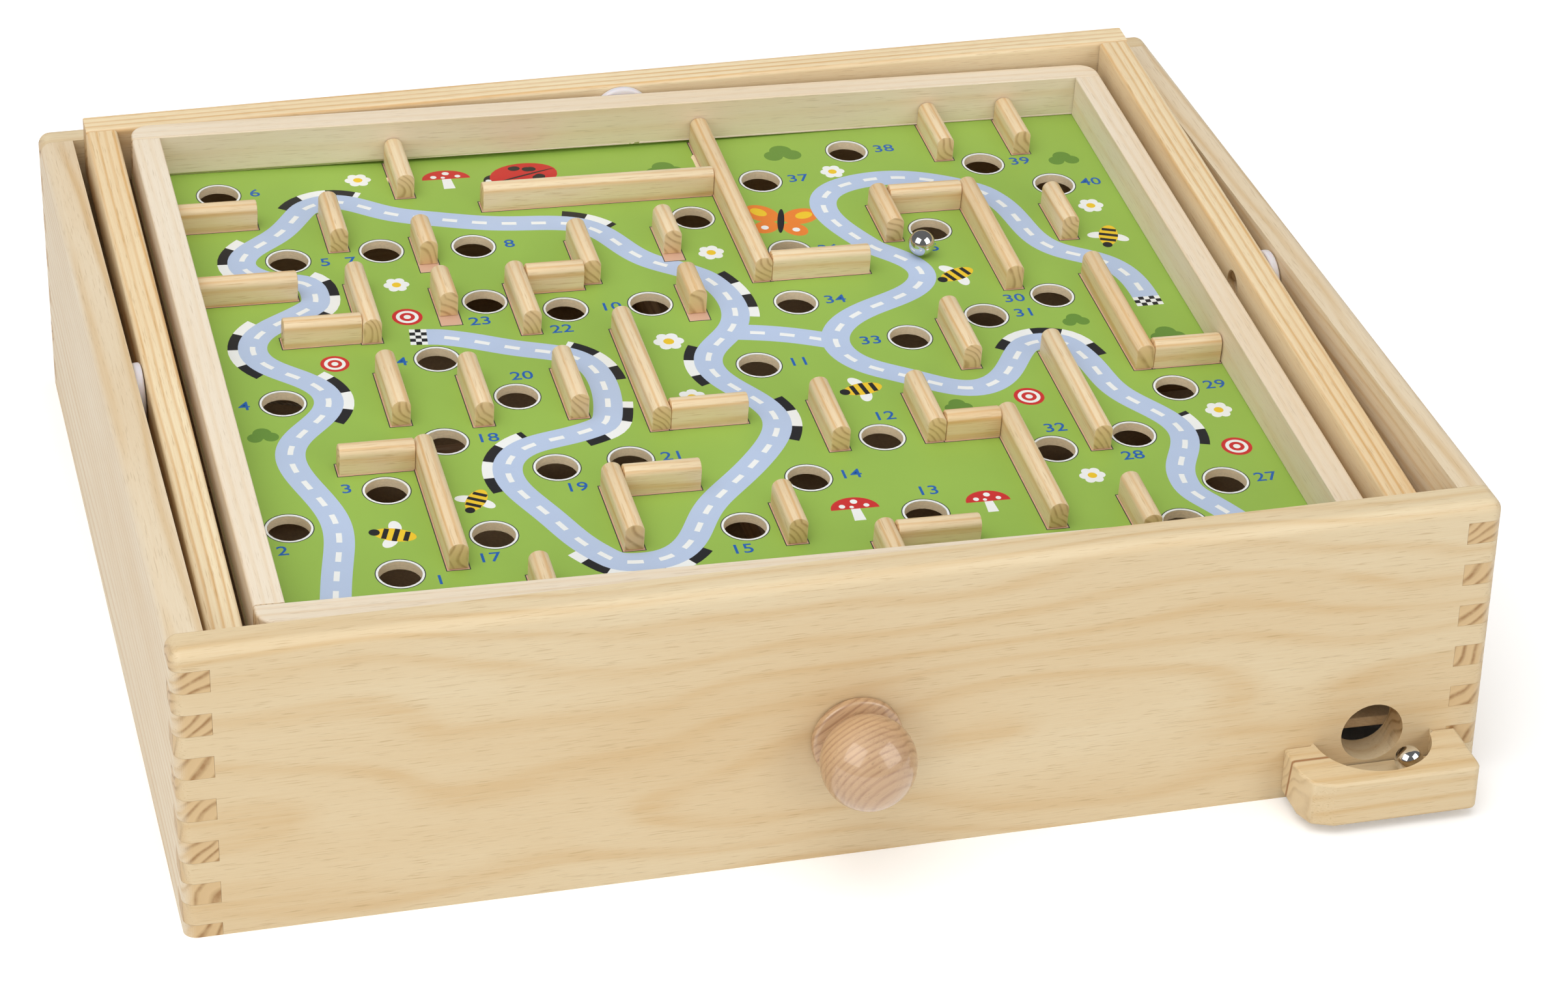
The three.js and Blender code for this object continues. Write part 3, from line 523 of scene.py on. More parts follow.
def soften_long(points, axes, halves, radius):
    """Round the four long edges of a bar: near an edge the larger offset becomes the true distance."""
    core, away, square, length = from_core(points[:, axes], np.array(halves) - radius)
    points[:, axes] = core + away * (square / length)[:, None]
    return points


def lattice(xs, ys, zs, keep):
    """Skin of the kept cells between grid lines: a quad wherever a kept cell meets an empty one."""
    middles = np.meshgrid(*[(edge[1:] + edge[:-1]) / 2 for edge in (xs, ys, zs)], indexing="ij")
    full = np.pad(keep(*middles), 1).astype(int)
    index = np.arange(len(xs) * len(ys) * len(zs)).reshape(len(xs), len(ys), len(zs))
    quads = []
    for axis in range(3):
        crop = [slice(1, -1)] * 3
        crop[axis] = slice(None)
        step = np.diff(full, axis=axis)[tuple(crop)]
        side = np.eye(3, dtype=int)
        u = side[(axis + 1) % 3]
        v = side[(axis + 2) % 3]
        for sign in (1, -1):
            cells = np.argwhere(step == sign)
            turn = (0 * u, v, u + v, u) if sign == 1 else (0 * u, u, u + v, v)
            quads.append(np.stack([index[tuple((cells + corner).T)] for corner in turn], axis=1))
    quads = np.concatenate(quads)
    used, renumbered = np.unique(quads, return_inverse=True)
    points = np.stack(np.meshgrid(xs, ys, zs, indexing="ij"), axis=-1).reshape(-1, 3)[used]
    return Surface(points, renumbered.reshape(quads.shape))


def arc(centre, radius, start, end, steps):
    """Points on a circle: the centre plus the radius times cosine and sine of even angles, in degrees."""
    angle = np.radians(np.linspace(start, end, steps))
    return np.stack([centre[0] + radius * np.cos(angle), centre[1] + radius * np.sin(angle)], axis=1)


def ring_quads(rows, count):
    """Quads between neighbouring rows of points, where each row is a closed ring of the count."""
    row = np.arange(rows - 1)[:, None] * count
    here = np.arange(count)[None]
    after = (here + 1) % count
    return np.stack([row + here, row + after, row + count + after, row + count + here], axis=-1).reshape(-1, 4)


def revolved(profile, sides):
    """Profile of radius and height pairs carried round the Z axis; a zero radius is one shared pole point."""
    profile = np.asarray(profile, float)
    turn = 2 * np.pi * np.arange(sides) / sides
    spin = np.stack([np.cos(turn), np.sin(turn)], axis=1)
    body = profile[1:-1]
    rings = np.concatenate([
        (body[:, None, :1] * spin[None]), np.repeat(body[:, None, 1:], sides, axis=1)], axis=2).reshape(-1, 3)
    poles = np.array([[0, 0, profile[0, 1]], [0, 0, profile[-1, 1]]])
    low = len(rings)
    top_row = (len(body) - 1) * sides
    first = np.arange(sides)
    following = (first + 1) % sides
    bottom = np.stack([np.full(sides, low), following, first], axis=1)
    top = np.stack([np.full(sides, low + 1), top_row + first, top_row + following], axis=1)
    return Surface(np.concatenate([rings, poles]), ring_quads(len(body), sides), np.concatenate([bottom, top]))


def tube(centres, sides_way, up_way, radius, sides):
    """Closed round tube: each centre plus the radius times cosine and sine along its two square directions."""
    turn = 2 * np.pi * np.arange(sides) / sides
    ring = np.cos(turn)[None, :, None] * sides_way[:, None] + np.sin(turn)[None, :, None] * up_way[:, None]
    points = (centres[:, None] + radius * ring).reshape(-1, 3)
    last = (len(centres) - 1) * sides
    caps = np.stack([np.arange(sides)[::-1], last + np.arange(sides)])
    return Surface(points, ring_quads(len(centres), sides), caps)


def square_ways(along):
    """Two unit directions square to a line and to each other."""
    along = along / np.linalg.norm(along)
    helper = np.array([0, 0, 1.0]) if abs(along[2]) < 0.9 else np.array([1.0, 0, 0])
    across = np.cross(helper, along)
    across /= np.linalg.norm(across)
    return across, np.cross(along, across)


def straight(start, end, radius, sides, steps):
    """Straight round bar between two points."""
    share = np.linspace(0, 1, steps)[:, None]
    centres = np.asarray(start) * (1 - share) + np.asarray(end) * share
    across, up = square_ways(np.asarray(end, float) - start)
    return tube(centres, np.repeat(across[None], steps, 0), np.repeat(up[None], steps, 0), radius, sides)


def helix(middle, along, across, up, radius, turns, length, wire, start=-0.25, steps=20):
    """Coil: round a circle in the plane of across and up while moving evenly along, from the start share of a
    turn; the wire's own directions are the outward one and the one square to it and to the coil's run."""
    share = np.linspace(0, 1, int(turns * steps) + 1)[:, None]
    angle = 2 * np.pi * (start + turns * share)
    outward = np.cos(angle) * across + np.sin(angle) * up
    centres = middle + radius * outward + along * length * (share - 0.5)
    run = 2 * np.pi * turns * radius * (-np.sin(angle) * across + np.cos(angle) * up) + along * length
    run /= np.linalg.norm(run, axis=1, keepdims=True)
    return tube(centres, outward, np.cross(run, outward), wire, 10)


def extruded(flat, triangles, top, bottom):
    """Plate from a triangle net: a top and a bottom copy, and a wall along each edge that one triangle has."""
    count = len(flat)
    points = np.concatenate([np.column_stack([flat, top]), np.column_stack([flat, bottom])])
    sides = np.concatenate([triangles[:, [0, 1]], triangles[:, [1, 2]], triangles[:, [2, 0]]])
    code = np.sort(sides, axis=1) @ np.array([count, 1])
    _, first, times = np.unique(code, return_index=True, return_counts=True)
    rim = sides[first[times == 1]]
    walls = np.stack([rim[:, 0], rim[:, 0] + count, rim[:, 1] + count, rim[:, 1]], axis=1)
    return Surface(points, np.concatenate([triangles, triangles[:, ::-1] + count]), walls)


def circle(x, y, radius, sides=48):
    """Closed ring of points round a centre."""
    return arc((x, y), radius, 0, 360 * (1 - 1 / sides), sides)


def rounded_outline(half_width, half_depth, radius, steps=8):
    """Closed outline of a rectangle with a quarter circle at each corner."""
    x = half_width - radius
    y = half_depth - radius
    return np.concatenate([
        arc((x, y), radius, 0, 90, steps), arc((-x, y), radius, 90, 180, steps),
        arc((-x, -y), radius, 180, 270, steps), arc((x, -y), radius, 270, 360, steps)])


def net(rings, loose):
    """Triangles that keep every ring's edges: a constrained Delaunay net of the rings and the loose points."""
    points = []
    edges = []
    for ring in rings:
        first = len(points)
        points.extend(ring)
        edges.extend((first + i, first + (i + 1) % len(ring)) for i in range(len(ring)))
    points.extend(loose)
    found = delaunay_2d_cdt([Vector(point) for point in points], edges, [], 0, 1e-4)
    flat = np.array([tuple(point) for point in found[0]])
    triangles = np.array(found[2])
    first, second, third = (flat[triangles[:, i]] for i in range(3))
    area = np.cross(second - first, third - first)
    triangles = np.where((area < 0)[:, None], triangles[:, ::-1], triangles)
    return flat, triangles[np.abs(area) > 1e-7]


def inside(points, ring):
    """Whether each point is in the ring: an odd number of its edges cross the ray to the right."""
    low = ring.min(axis=0)
    high = ring.max(axis=0)
    near = np.where(((points >= low) & (points <= high)).all(axis=1))[0]
    x = points[near, 0][:, None]
    y = points[near, 1][:, None]
    x0, y0 = ring.T
    x1, y1 = np.roll(ring, -1, axis=0).T
    rise = np.where(y1 == y0, 1, y1 - y0)
    crosses = ((y0 > y) != (y1 > y)) & (x < x0 + (y - y0) * (x1 - x0) / rise)
    answer = np.zeros(len(points), bool)
    answer[near] = crosses.sum(axis=1) % 2 == 1
    return answer


# Materials

class Nodes:
    """Node tree with short ways to add and link nodes."""

    def __init__(self, owner):
        owner.use_nodes = True
        self.tree = owner.node_tree

    def add(self, kind, sockets=(), **settings):
        """A node with its settings; each socket pair is a value, or another node's output to link."""
        node = self.tree.nodes.new(kind)
        for key, value in settings.items():
            setattr(node, key, value)
        self.fill(node, sockets)
        return node

    def fill(self, node, sockets):
        """Values and links of a node's inputs."""
        for key, value in dict(sockets).items():
            if isinstance(value, bpy.types.NodeSocket):
                self.tree.links.new(value, node.inputs[key])
            else:
                node.inputs[key].default_value = value

    def attribute(self, name, output="Vector"):
        """Value that the piece's mesh carries."""
        return self.add("ShaderNodeAttribute", attribute_name=name).outputs[output]

    def place(self):
        """Place in the scene in metres, as every piece's object stands at the origin."""
        return self.add("ShaderNodeTexCoord").outputs["Object"]

    def math(self, operation, first, second=0.0):
        """Result of one sum."""
        return self.add("ShaderNodeMath", {0: first, 1: second}, operation=operation).outputs[0]

    def stretched(self, source, scale, detail=3.0, roughness=0.55):
        """Noise on coordinates scaled by the three amounts."""
        mapping = self.add("ShaderNodeVectorMath", {0: source, 1: scale}, operation="MULTIPLY")
        return self.add("ShaderNodeTexNoise", {
            "Vector": mapping.outputs[0], "Scale": 1.0, "Detail": detail, "Roughness": roughness}).outputs["Fac"]

    def remap(self, value, low, high, start, end):
        """Value from one range to another, held at its ends."""
        return self.add("ShaderNodeMapRange", {
            "Value": value, "From Min": low, "From Max": high, "To Min": start, "To Max": end}).outputs["Result"]

    def mix(self, share, first, second):
        """Blend of two colours."""
        node = self.add("ShaderNodeMix", data_type="RGBA")
        self.fill(node, {"Factor": share, 6: first, 7: second})
        return node.outputs[2]


class Shader(Nodes):
    """Node tree of a new material."""

    def __init__(self, name):
        self.material = bpy.data.materials.new(name)
        super().__init__(self.material)
        self.surface = self.tree.nodes["Principled BSDF"]

    def rings(self, distance, spacing):
        """Growth rings: dark just before each whole number of spacings, pale after it."""
        ramp = self.add("ShaderNodeValToRGB", {
            "Fac": self.math("FRACT", self.math("DIVIDE", distance, spacing))})
        stops = ramp.color_ramp.elements
        for stop in stops:
            stop.color = (0.45, 0.45, 0.45, 1)
        for position, level in ((0.12, 0.0), (0.58, 0.1), (0.84, 1.0), (0.93, 0.95)):
            stops.new(position).color = (level, level, level, 1)
        return ramp.outputs["Color"]

    def bump(self, height, strength, distance):
        """Bump on the surface from a height."""
        node = self.add("ShaderNodeBump", {"Height": height, "Strength": strength, "Distance": distance})
        self.fill(self.surface, {"Normal": node.outputs["Normal"]})


def made_once(make):
    """Lets a material's function return the one that was made before under its name."""
    def recall(name, *values, **options):
        return bpy.data.materials.get(name) or make(name, *values, **options)
    return recall


def opaque(colour, share=1.0):
    """Colour times a share, with full alpha."""
    return (*np.multiply(colour, share), 1)


@made_once
def wood(name, early, late, ends, spacing, pith, share, end_spacing, bend, roughness=0.5, gloss=0.0, curl=5,
         contrast=1.0, resin=None):
    """Sawn wood: the distance to a pith line beside the piece, bent by slow noise, gives growth rings that darken
    slowly and end sharply; fine stretched noise gives fibres and short dark dashes, a wide one darker fields. Sawn
    ends show the same rings closer together. Resin stains one line across the grain, up to a place along it."""
    shader = Shader(name)
    early, late, ends = (srgb(*tone) for tone in (early, late, ends))
    place = shader.attribute("grain")
    end = shader.attribute("end_grain", "Fac")
    slow = shader.stretched(place, (0.006, 0.018, 0.018), 2.0, 0.4)
    parts = shader.add("ShaderNodeSeparateXYZ", {0: place})
    across = shader.math("ADD", parts.outputs["Y"], pith[0])
    deep = shader.math("ADD", parts.outputs["Z"], pith[1])
    distance = shader.math("POWER", shader.math("ADD", shader.math("MULTIPLY", across, across),
                                                shader.math("MULTIPLY", deep, deep)), 0.5)
    distance = shader.math("ADD", distance, shader.remap(slow, 0.3, 0.7, -bend, bend))
    fibre = shader.stretched(place, (0.04, 2.4, 2.4), 4.0, 0.7)
    dash = shader.stretched(place, (0.12, 3.0, 3.0), 2.0, 0.6)
    streak = shader.stretched(place, (0.008, 0.35, 0.35), 3.0, 0.6)
    field = shader.stretched(place, (0.005, 0.025, 0.025), 2.0)
    rings = shader.rings(distance, spacing)
    lines_here = shader.math("MULTIPLY", rings, shader.remap(streak, 0.35, 0.65, 0.35, 1.0))
    colour = shader.mix(shader.math("MULTIPLY", lines_here, share), opaque(early), opaque(late))
    for layer, low, high, most, tone in ((field, 0.35, 0.7, 0.4, opaque(late)),
                                         (fibre, 0.35, 0.75, 0.25, opaque(late)),
                                         (dash, 0.58, 0.72, 0.5, opaque(late, 0.72))):
        colour = shader.mix(shader.remap(layer, low, high, 0.0, most), colour, tone)
    swirl = shader.stretched(place, (0.002, 0.05, 0.05), 1.0)
    curled = shader.math("ADD", distance, shader.remap(swirl, 0.3, 0.7, -curl, curl))
    end_lines = shader.math("MULTIPLY", shader.rings(curled, end_spacing), shader.remap(streak, 0.3, 0.6, 0.5, 1.0))
    end_colour = shader.mix(shader.math("MULTIPLY", end_lines, contrast), opaque(ends),
                            opaque(ends, (0.53, 0.4, 0.28)))
    colour = shader.mix(end, colour, end_colour)
    if resin:
        stain_y, stain_x = resin
        slant = shader.math("ADD", parts.outputs["Y"], shader.math("MULTIPLY", parts.outputs["Z"], 0.2))
        away = shader.math("ABSOLUTE", shader.math("SUBTRACT", slant, stain_y))
        stain = shader.math("MULTIPLY", shader.remap(away, 0.2, 0.8, 0.85, 0.0),
                            shader.remap(parts.outputs["X"], stain_x, stain_x + 2, 1.0, 0.0))
        colour = shader.mix(stain, colour, opaque(srgb(150, 92, 42)))
    pores = shader.stretched(place, (0.4, 7.0, 7.0), 3.0, 0.8)
    shader.fill(shader.surface, {
        "Base Color": colour, "Specular IOR Level": 0.5, "Coat Weight": gloss, "Coat Roughness": 0.1,
        "Roughness": shader.remap(fibre, 0.3, 0.7, roughness - 0.08, roughness + 0.08)})
    shader.bump(pores, 0.3, 0.0001)
    return shader.material


@made_once
def printed_ink(name, colour):
    """Ink on laminated paper: a plain colour with a faint cloud, a satin face and a very fine tooth."""
    shader = Shader(name)
    place = shader.attribute("grain")
    cloud = shader.stretched(place, (0.02, 0.02, 0.02), 3.0)
    tone = shader.mix(shader.remap(cloud, 0.35, 0.65, 0.0, 0.3), opaque(colour), opaque(colour, 0.8))
    tooth = shader.stretched(place, (3.0, 3.0, 3.0), 2.0)
    shader.fill(shader.surface, {"Base Color": tone, "Roughness": 0.42, "Specular IOR Level": 0.4})
    shader.bump(tooth, 0.15, 0.00004)
    return shader.material


@made_once
def fibre_board(name, colour, dark_share):
    """Pressed fibres: short crossing noise in two tones, dull and slightly fuzzy."""
    shader = Shader(name)
    place = shader.attribute("grain")
    fuzz = shader.stretched(place, (1.2, 1.2, 2.4), 5.0, 0.7)
    layers = shader.stretched(place, (0.1, 0.1, 3.0), 2.0)
    dark = opaque(colour, dark_share)
    tone = shader.mix(shader.remap(fuzz, 0.35, 0.7, 0.0, 0.8), opaque(colour), dark)
    tone = shader.mix(shader.remap(layers, 0.4, 0.7, 0.0, 0.3), tone, dark)
    shader.fill(shader.surface, {"Base Color": tone, "Roughness": 0.85, "Specular IOR Level": 0.2})
    shader.bump(fuzz, 0.5, 0.0002)
    return shader.material


@made_once
def moulded(name, colour):
    """Moulded nylon: a soft, slightly see-through white with faint flow marks."""
    shader = Shader(name)
    place = shader.place()
    flow = shader.stretched(place, (120.0, 120.0, 120.0), 2.0)
    shader.fill(shader.surface, {
        "Base Color": opaque(colour), "Roughness": shader.remap(flow, 0.3, 0.7, 0.3, 0.45),
        "Subsurface Weight": 0.25, "Subsurface Scale": 0.002})
    shader.bump(flow, 0.1, 0.0001)
    return shader.material


@made_once
def polished(name, colour, roughness):
    """Bright metal: full metallic with very fine polishing marks."""
    shader = Shader(name)
    place = shader.place()
    marks = shader.stretched(place, (900.0, 900.0, 900.0), 2.0)
    shader.fill(shader.surface, {
        "Base Color": opaque(colour), "Metallic": 1.0,
        "Roughness": shader.remap(marks, 0.3, 0.7, roughness, roughness + 0.03)})
    return shader.material


@made_once
def twisted(name, colour):
    """Twisted cord: slanting bands of light and shade along the thread."""
    shader = Shader(name)
    place = shader.place()
    band = shader.add("ShaderNodeTexWave", {"Vector": place, "Scale": 420.0, "Distortion": 1.0},
                      bands_direction="DIAGONAL").outputs["Fac"]
    tone = shader.mix(band, opaque(colour, 0.75), opaque(colour))
    shader.fill(shader.surface, {"Base Color": tone, "Roughness": 0.9})
    shader.bump(band, 0.5, 0.0002)
    return shader.material


def sawn(name):
    """Wood of the table."""
    return wood(name, **WOODS[name])


def inks():
    """One material for each printing ink, in the order of the table."""
    return [printed_ink("ink_" + name, srgb(*colour)) for name, colour in INKS.items()]


# Box

def finger_spans():
    """Low and high edge of each finger, from the top down."""
    tops = np.arange(BOX_HEIGHT - FINGER_TOP, 0, -2 * FINGER_HEIGHT)
    return [(max(top - FINGER_HEIGHT, 0), top) for top in tops]


def in_spans(z, margin=0.0):
    """Whether a height lies in one of the fingers."""
    found = np.zeros(z.shape, bool)
    for low, high in finger_spans():
        found |= (z > low - margin) & (z < high + margin)
    return found


def board_heights(round_r, margin):
    """Grid heights of a board: its fingers' edges and the rounded top."""
    spans = np.array(finger_spans())
    edges = np.concatenate([spans[:, 0] - margin, spans[:, 1] + margin])
    return lines([0], edges[edges > 0], round_lines(BOX_HEIGHT, round_r))


def long_board(end, round_r, gap):
    """Front or back board: a comb at each end takes the side boards' fingers."""
    outer = end * BOX_DEPTH / 2
    inner = outer - end * BOARD_T
    notch = BOX_WIDTH / 2 - BOARD_T - gap
    xs = [[-notch, notch], both_round(BOX_WIDTH / 2, round_r), hole_lines(0, ROD_HOLE_R)]
    zs = [board_heights(round_r, gap), hole_lines(FRONT_ROD_Z, ROD_HOLE_R)]
    seat = inner + end * ROD_SEAT
    ys = [round_lines(outer, round_r), [inner, seat]]
    if end < 0:
        xs.append(hole_lines(EXIT_X, EXIT_R))
        zs.append(hole_lines(EXIT_Z, EXIT_R))

    def keep(x, y, z):
        solid = ~((np.abs(x) > notch) & in_spans(z, gap))
        rod = in_core(x, z, (0, FRONT_ROD_Z), ROD_HOLE_R)
        if end > 0:
            return solid & ~(rod & (y < seat))
        return solid & ~rod & ~in_core(x, z, (EXIT_X, EXIT_Z), EXIT_R)

    board = lattice(lines(*xs), lines(*ys), lines(*zs), keep)
    open_round(board.points, [0, 2], (0, FRONT_ROD_Z), ROD_HOLE_R)
    if end < 0:
        open_round(board.points, [0, 2], (EXIT_X, EXIT_Z), EXIT_R)
    soften(board.points, BOX_WIDTH / 2, BOX_DEPTH / 2, BOX_HEIGHT, round_r, round_r)
    return board.cut_along(0, seed=3 + end)


def side_board(side, round_r, gap):
    """Left or right board: its fingers reach the front and back faces."""
    outer = side * BOX_WIDTH / 2
    inner = outer - side * BOARD_T
    root = INNER_DEPTH / 2 - gap
    seat = inner + side * (SHANK_LENGTH + SHORT_GAP)
    xs = lines(round_lines(outer, round_r), [inner, seat])
    ys = lines([-root, root], both_round(BOX_DEPTH / 2, round_r), hole_lines(0, ROD_HOLE_R),
               hole_lines(0, SHANK_HOLE_R))
    zs = lines(board_heights(round_r, 0), hole_lines(SIDE_ROD_Z, ROD_HOLE_R), hole_lines(PIVOT_Z, SHANK_HOLE_R))

    def keep(x, y, z):
        solid = (np.abs(y) < root) | in_spans(z)
        rod = in_core(y, z, (0, SIDE_ROD_Z), ROD_HOLE_R)
        shank = in_core(y, z, (0, PIVOT_Z), SHANK_HOLE_R)
        shallow = side * (x - seat) < 0
        return solid & ~(rod & (shallow | (side > 0))) & ~(shank & shallow)

    board = lattice(xs, ys, zs, keep)
    open_round(board.points, [1, 2], (0, SIDE_ROD_Z), ROD_HOLE_R)
    open_round(board.points, [1, 2], (0, PIVOT_Z), SHANK_HOLE_R)
    soften(board.points, BOX_WIDTH / 2, BOX_DEPTH / 2, BOX_HEIGHT, round_r, round_r)
    return board.cut_along(1, seed=11 + side)


def sloped_floor():
    """Floor board: a flat slab, raised by its slopes away from the exit hole."""
    half_x = INNER_WIDTH / 2 - SHORT_GAP
    half_y = INNER_DEPTH / 2 - SHORT_GAP
    floor = lattice(np.linspace(-half_x, half_x, 3), np.linspace(-half_y, half_y, 3), np.array([-FLOOR_T, 0]),
                    lambda x, y, z: x == x)
    rise = FLOOR_SLOPE_Y * (floor.points[:, 1] + INNER_DEPTH / 2) + FLOOR_SLOPE_X * (EXIT_X - floor.points[:, 0])
    floor.points[:, 2] += FLOOR_EXIT_Z + rise
    return floor


def catch_block():
    """Catch block: its outline drawn up, with a round pocket cut from the top against the board."""
    face = -BOX_DEPTH / 2
    front = face - CATCH_DEPTH
    low = CATCH_LIFT
    high = CATCH_LIFT + CATCH_HEIGHT
    deep = high - POCKET_DEPTH
    corner = arc((CATCH_RIGHT - CATCH_CORNER_R, front + CATCH_CORNER_R), CATCH_CORNER_R, -90, 0, 6)
    outline = np.concatenate([
        [(CATCH_LEFT, face), (CATCH_LEFT, front + CATCH_CUT), (CATCH_LEFT + CATCH_CUT / 4, front + CATCH_CORNER_R),
         (CATCH_LEFT + CATCH_CUT, front)], corner, [(CATCH_RIGHT, face)]])
    pocket = arc((EXIT_X, face), POCKET_R, 0, -180, 33)
    around = len(outline)
    bite = len(pocket)
    points = np.concatenate([np.column_stack([flat, np.full(len(flat), z)])
                             for flat, z in ((outline, low), (outline, high), (pocket, high), (pocket, deep))])
    bottom_ring = np.arange(around)
    top_ring = bottom_ring + around
    rim = 2 * around + np.arange(bite)
    foot = rim + bite
    walls = np.stack([bottom_ring[:-1], bottom_ring[1:], top_ring[1:], top_ring[:-1]], axis=1)
    pocket_wall = np.stack([rim[:-1], rim[1:], foot[1:], foot[:-1]], axis=1)
    back = [bottom_ring[-1], bottom_ring[0], top_ring[0], rim[-1], foot[-1], foot[0], rim[0], top_ring[-1]]
    block = Surface(points, walls, pocket_wall, [bottom_ring[::-1]], [np.concatenate([top_ring, rim])],
                    [foot[::-1]], [back])
    return block.cut_along(0, seed=29)


# Ring and tray

def ring_bar(length, round_r, outer=0):
    """Bar along X with softened long edges and a cross hole in its middle; the upright corners on its outer side
    are rounded too, if it has one."""
    half = [RING_T / 2, RING_HEIGHT / 2]
    xs = lines(np.linspace(-length / 2, length / 2, 9), hole_lines(0, SHANK_HOLE_R),
               both_round(length / 2, RING_CORNER_R))
    ys = lines(both_round(half[0], round_r), both_round(half[0], RING_CORNER_R))
    zs = lines(both_round(half[1], round_r), hole_lines(0, SHANK_HOLE_R))
    bar = lattice(xs, ys, zs, lambda x, y, z: ~in_core(x, z, (0, 0), SHANK_HOLE_R))
    open_round(bar.points, [0, 2], (0, 0), SHANK_HOLE_R)
    facing = outer * bar.points[:, 1] > 0
    bar.points[facing] = soften_long(bar.points[facing], [0, 1], [length / 2, half[0]], RING_CORNER_R)
    soften_long(bar.points, [1, 2], half, round_r)
    return bar


def peg(x, y, top):
    """Peg for a cord's end: a round pin with a domed tip, hanging from the height."""
    tip = arc((0, top - PEG_LENGTH + PEG_R), PEG_R, -90, 0, 7)
    profile = np.concatenate([tip, [(PEG_R, top + PEG_ROOT), (0, top + PEG_ROOT)]])
    return revolved(profile, sides=24).moved(Matrix.Translation((x, y, 0))).cut_along(2, seed=5)


def tray_cross_wall(end, round_r):
    """Front or back wall of the tray: full width, with rounded upright corners and a blind pivot seat."""
    outer = end * TRAY_DEPTH / 2
    seat = outer - end * SHANK_LENGTH
    half = TRAY_WIDTH / 2
    reach = 1.25
    xs = lines(hole_lines(0, SHANK_HOLE_R, reach), both_round(half, TRAY_CORNER_R), both_round(half, round_r, 3))
    ys = lines(round_lines(outer, TRAY_CORNER_R), round_lines(outer, round_r, 3), [seat, outer - end * TRAY_WALL_T])
    zs = lines([SHEET_TOP], round_lines(TRAY_TOP, round_r, 3), hole_lines(0, SHANK_HOLE_R, reach))
    wall = lattice(xs, ys, zs, lambda x, y, z: ~in_core(x, z, (0, 0), SHANK_HOLE_R) | (end * (y - seat) < 0))
    open_round(wall.points, [0, 2], (0, 0), SHANK_HOLE_R, reach)
    soften(wall.points, half, TRAY_DEPTH / 2, TRAY_TOP, TRAY_CORNER_R, round_r)
    return wall.cut_along(0, seed=41 + end)


def tray_side_wall(side, round_r):
    """Left or right wall of the tray, between the other two."""
    outer = side * TRAY_WIDTH / 2
    reach = PLAY_DEPTH / 2 - SHORT_GAP / 2
    wall = lattice(
        lines(round_lines(outer, round_r, 3), [outer - side * TRAY_WALL_T]),
        np.linspace(-reach, reach, 9), lines([SHEET_TOP], round_lines(TRAY_TOP, round_r, 3)),
        lambda x, y, z: x == x)
    soften(wall.points, TRAY_WIDTH / 2, TRAY_DEPTH / 2, TRAY_TOP, TRAY_CORNER_R, round_r)
    return wall.cut_along(1, seed=53 + side)


def bow(flat, amount):
    """How far the playfield sags at each point: most near the back wall, left of the middle, fading as bells."""
    back = np.exp(-((PLAY_DEPTH / 2 - flat[:, 1]) / SAG_DEPTH) ** 2)
    return -amount * back * np.exp(-((flat[:, 0] - SAG_X) / SAG_WIDTH) ** 2)


def hole_gaps(flat):
    """Distance from each point to the nearest hole's middle."""
    return np.linalg.norm(flat[:, None] - HOLES[None], axis=2).min(axis=1)


def even_points(step):
    """Loose points of an even grid over the tray, kept clear of the outline and the holes."""
    x, y = np.meshgrid(np.arange(-TRAY_WIDTH / 2 + step, TRAY_WIDTH / 2 - step / 2, step),
                       np.arange(-TRAY_DEPTH / 2 + step, TRAY_DEPTH / 2 - step / 2, step))
    flat = np.column_stack([x.ravel(), y.ravel()])
    return flat[hole_gaps(flat) > HOLE_R + NET_CLEAR]


def without_holes(flat, triangles):
    """The net's triangles that don't lie in a hole."""
    return triangles[hole_gaps(flat[triangles].mean(axis=1)) > HOLE_R * 0.99]


def playfield_board(sag):
    """Fibreboard with forty round holes, sagging slightly at the back."""
    rings = [rounded_outline(TRAY_WIDTH / 2, TRAY_DEPTH / 2, TRAY_CORNER_R)]
    rings += [circle(x, y, HOLE_R) for x, y in HOLES]
    flat, triangles = net(rings, even_points(step=9))
    triangles = without_holes(flat, triangles)
    top = PLAY_TOP + bow(flat, sag)
    return extruded(flat, triangles, top, top - PLAYFIELD_T)


# Maze sticks

def upright(line):
    """Whether a centre line runs front to back."""
    return abs(line[1, 1] - line[0, 1]) > abs(line[1, 0] - line[0, 0])


def stick_lines(number):
    """Centre lines of one cluster's sticks in mm: an end that would lie in a crossing stick stops at its side."""
    limit = PLAY_SIZE / 2 - SHORT_GAP
    sticks = [np.clip(np.reshape(row, (2, 2)) * PLAY_SIZE, -limit, limit) for row in MAZE_shares[number]]
    for here in [line for line in sticks if not upright(line)]:
        for other in [line for line in sticks if upright(line)]:
            near = other[0, 0]
            low, high = sorted(other[:, 1])
            for tip in (0, 1):
                away = here[1 - tip, 0] - here[tip, 0]
                if abs(here[tip, 0] - near) < MAZE_T and low - MAZE_T < here[tip, 1] < high + MAZE_T:
                    here[tip, 0] = near + np.sign(away) * (MAZE_T / 2 + GLUE_GAP)
    return sticks


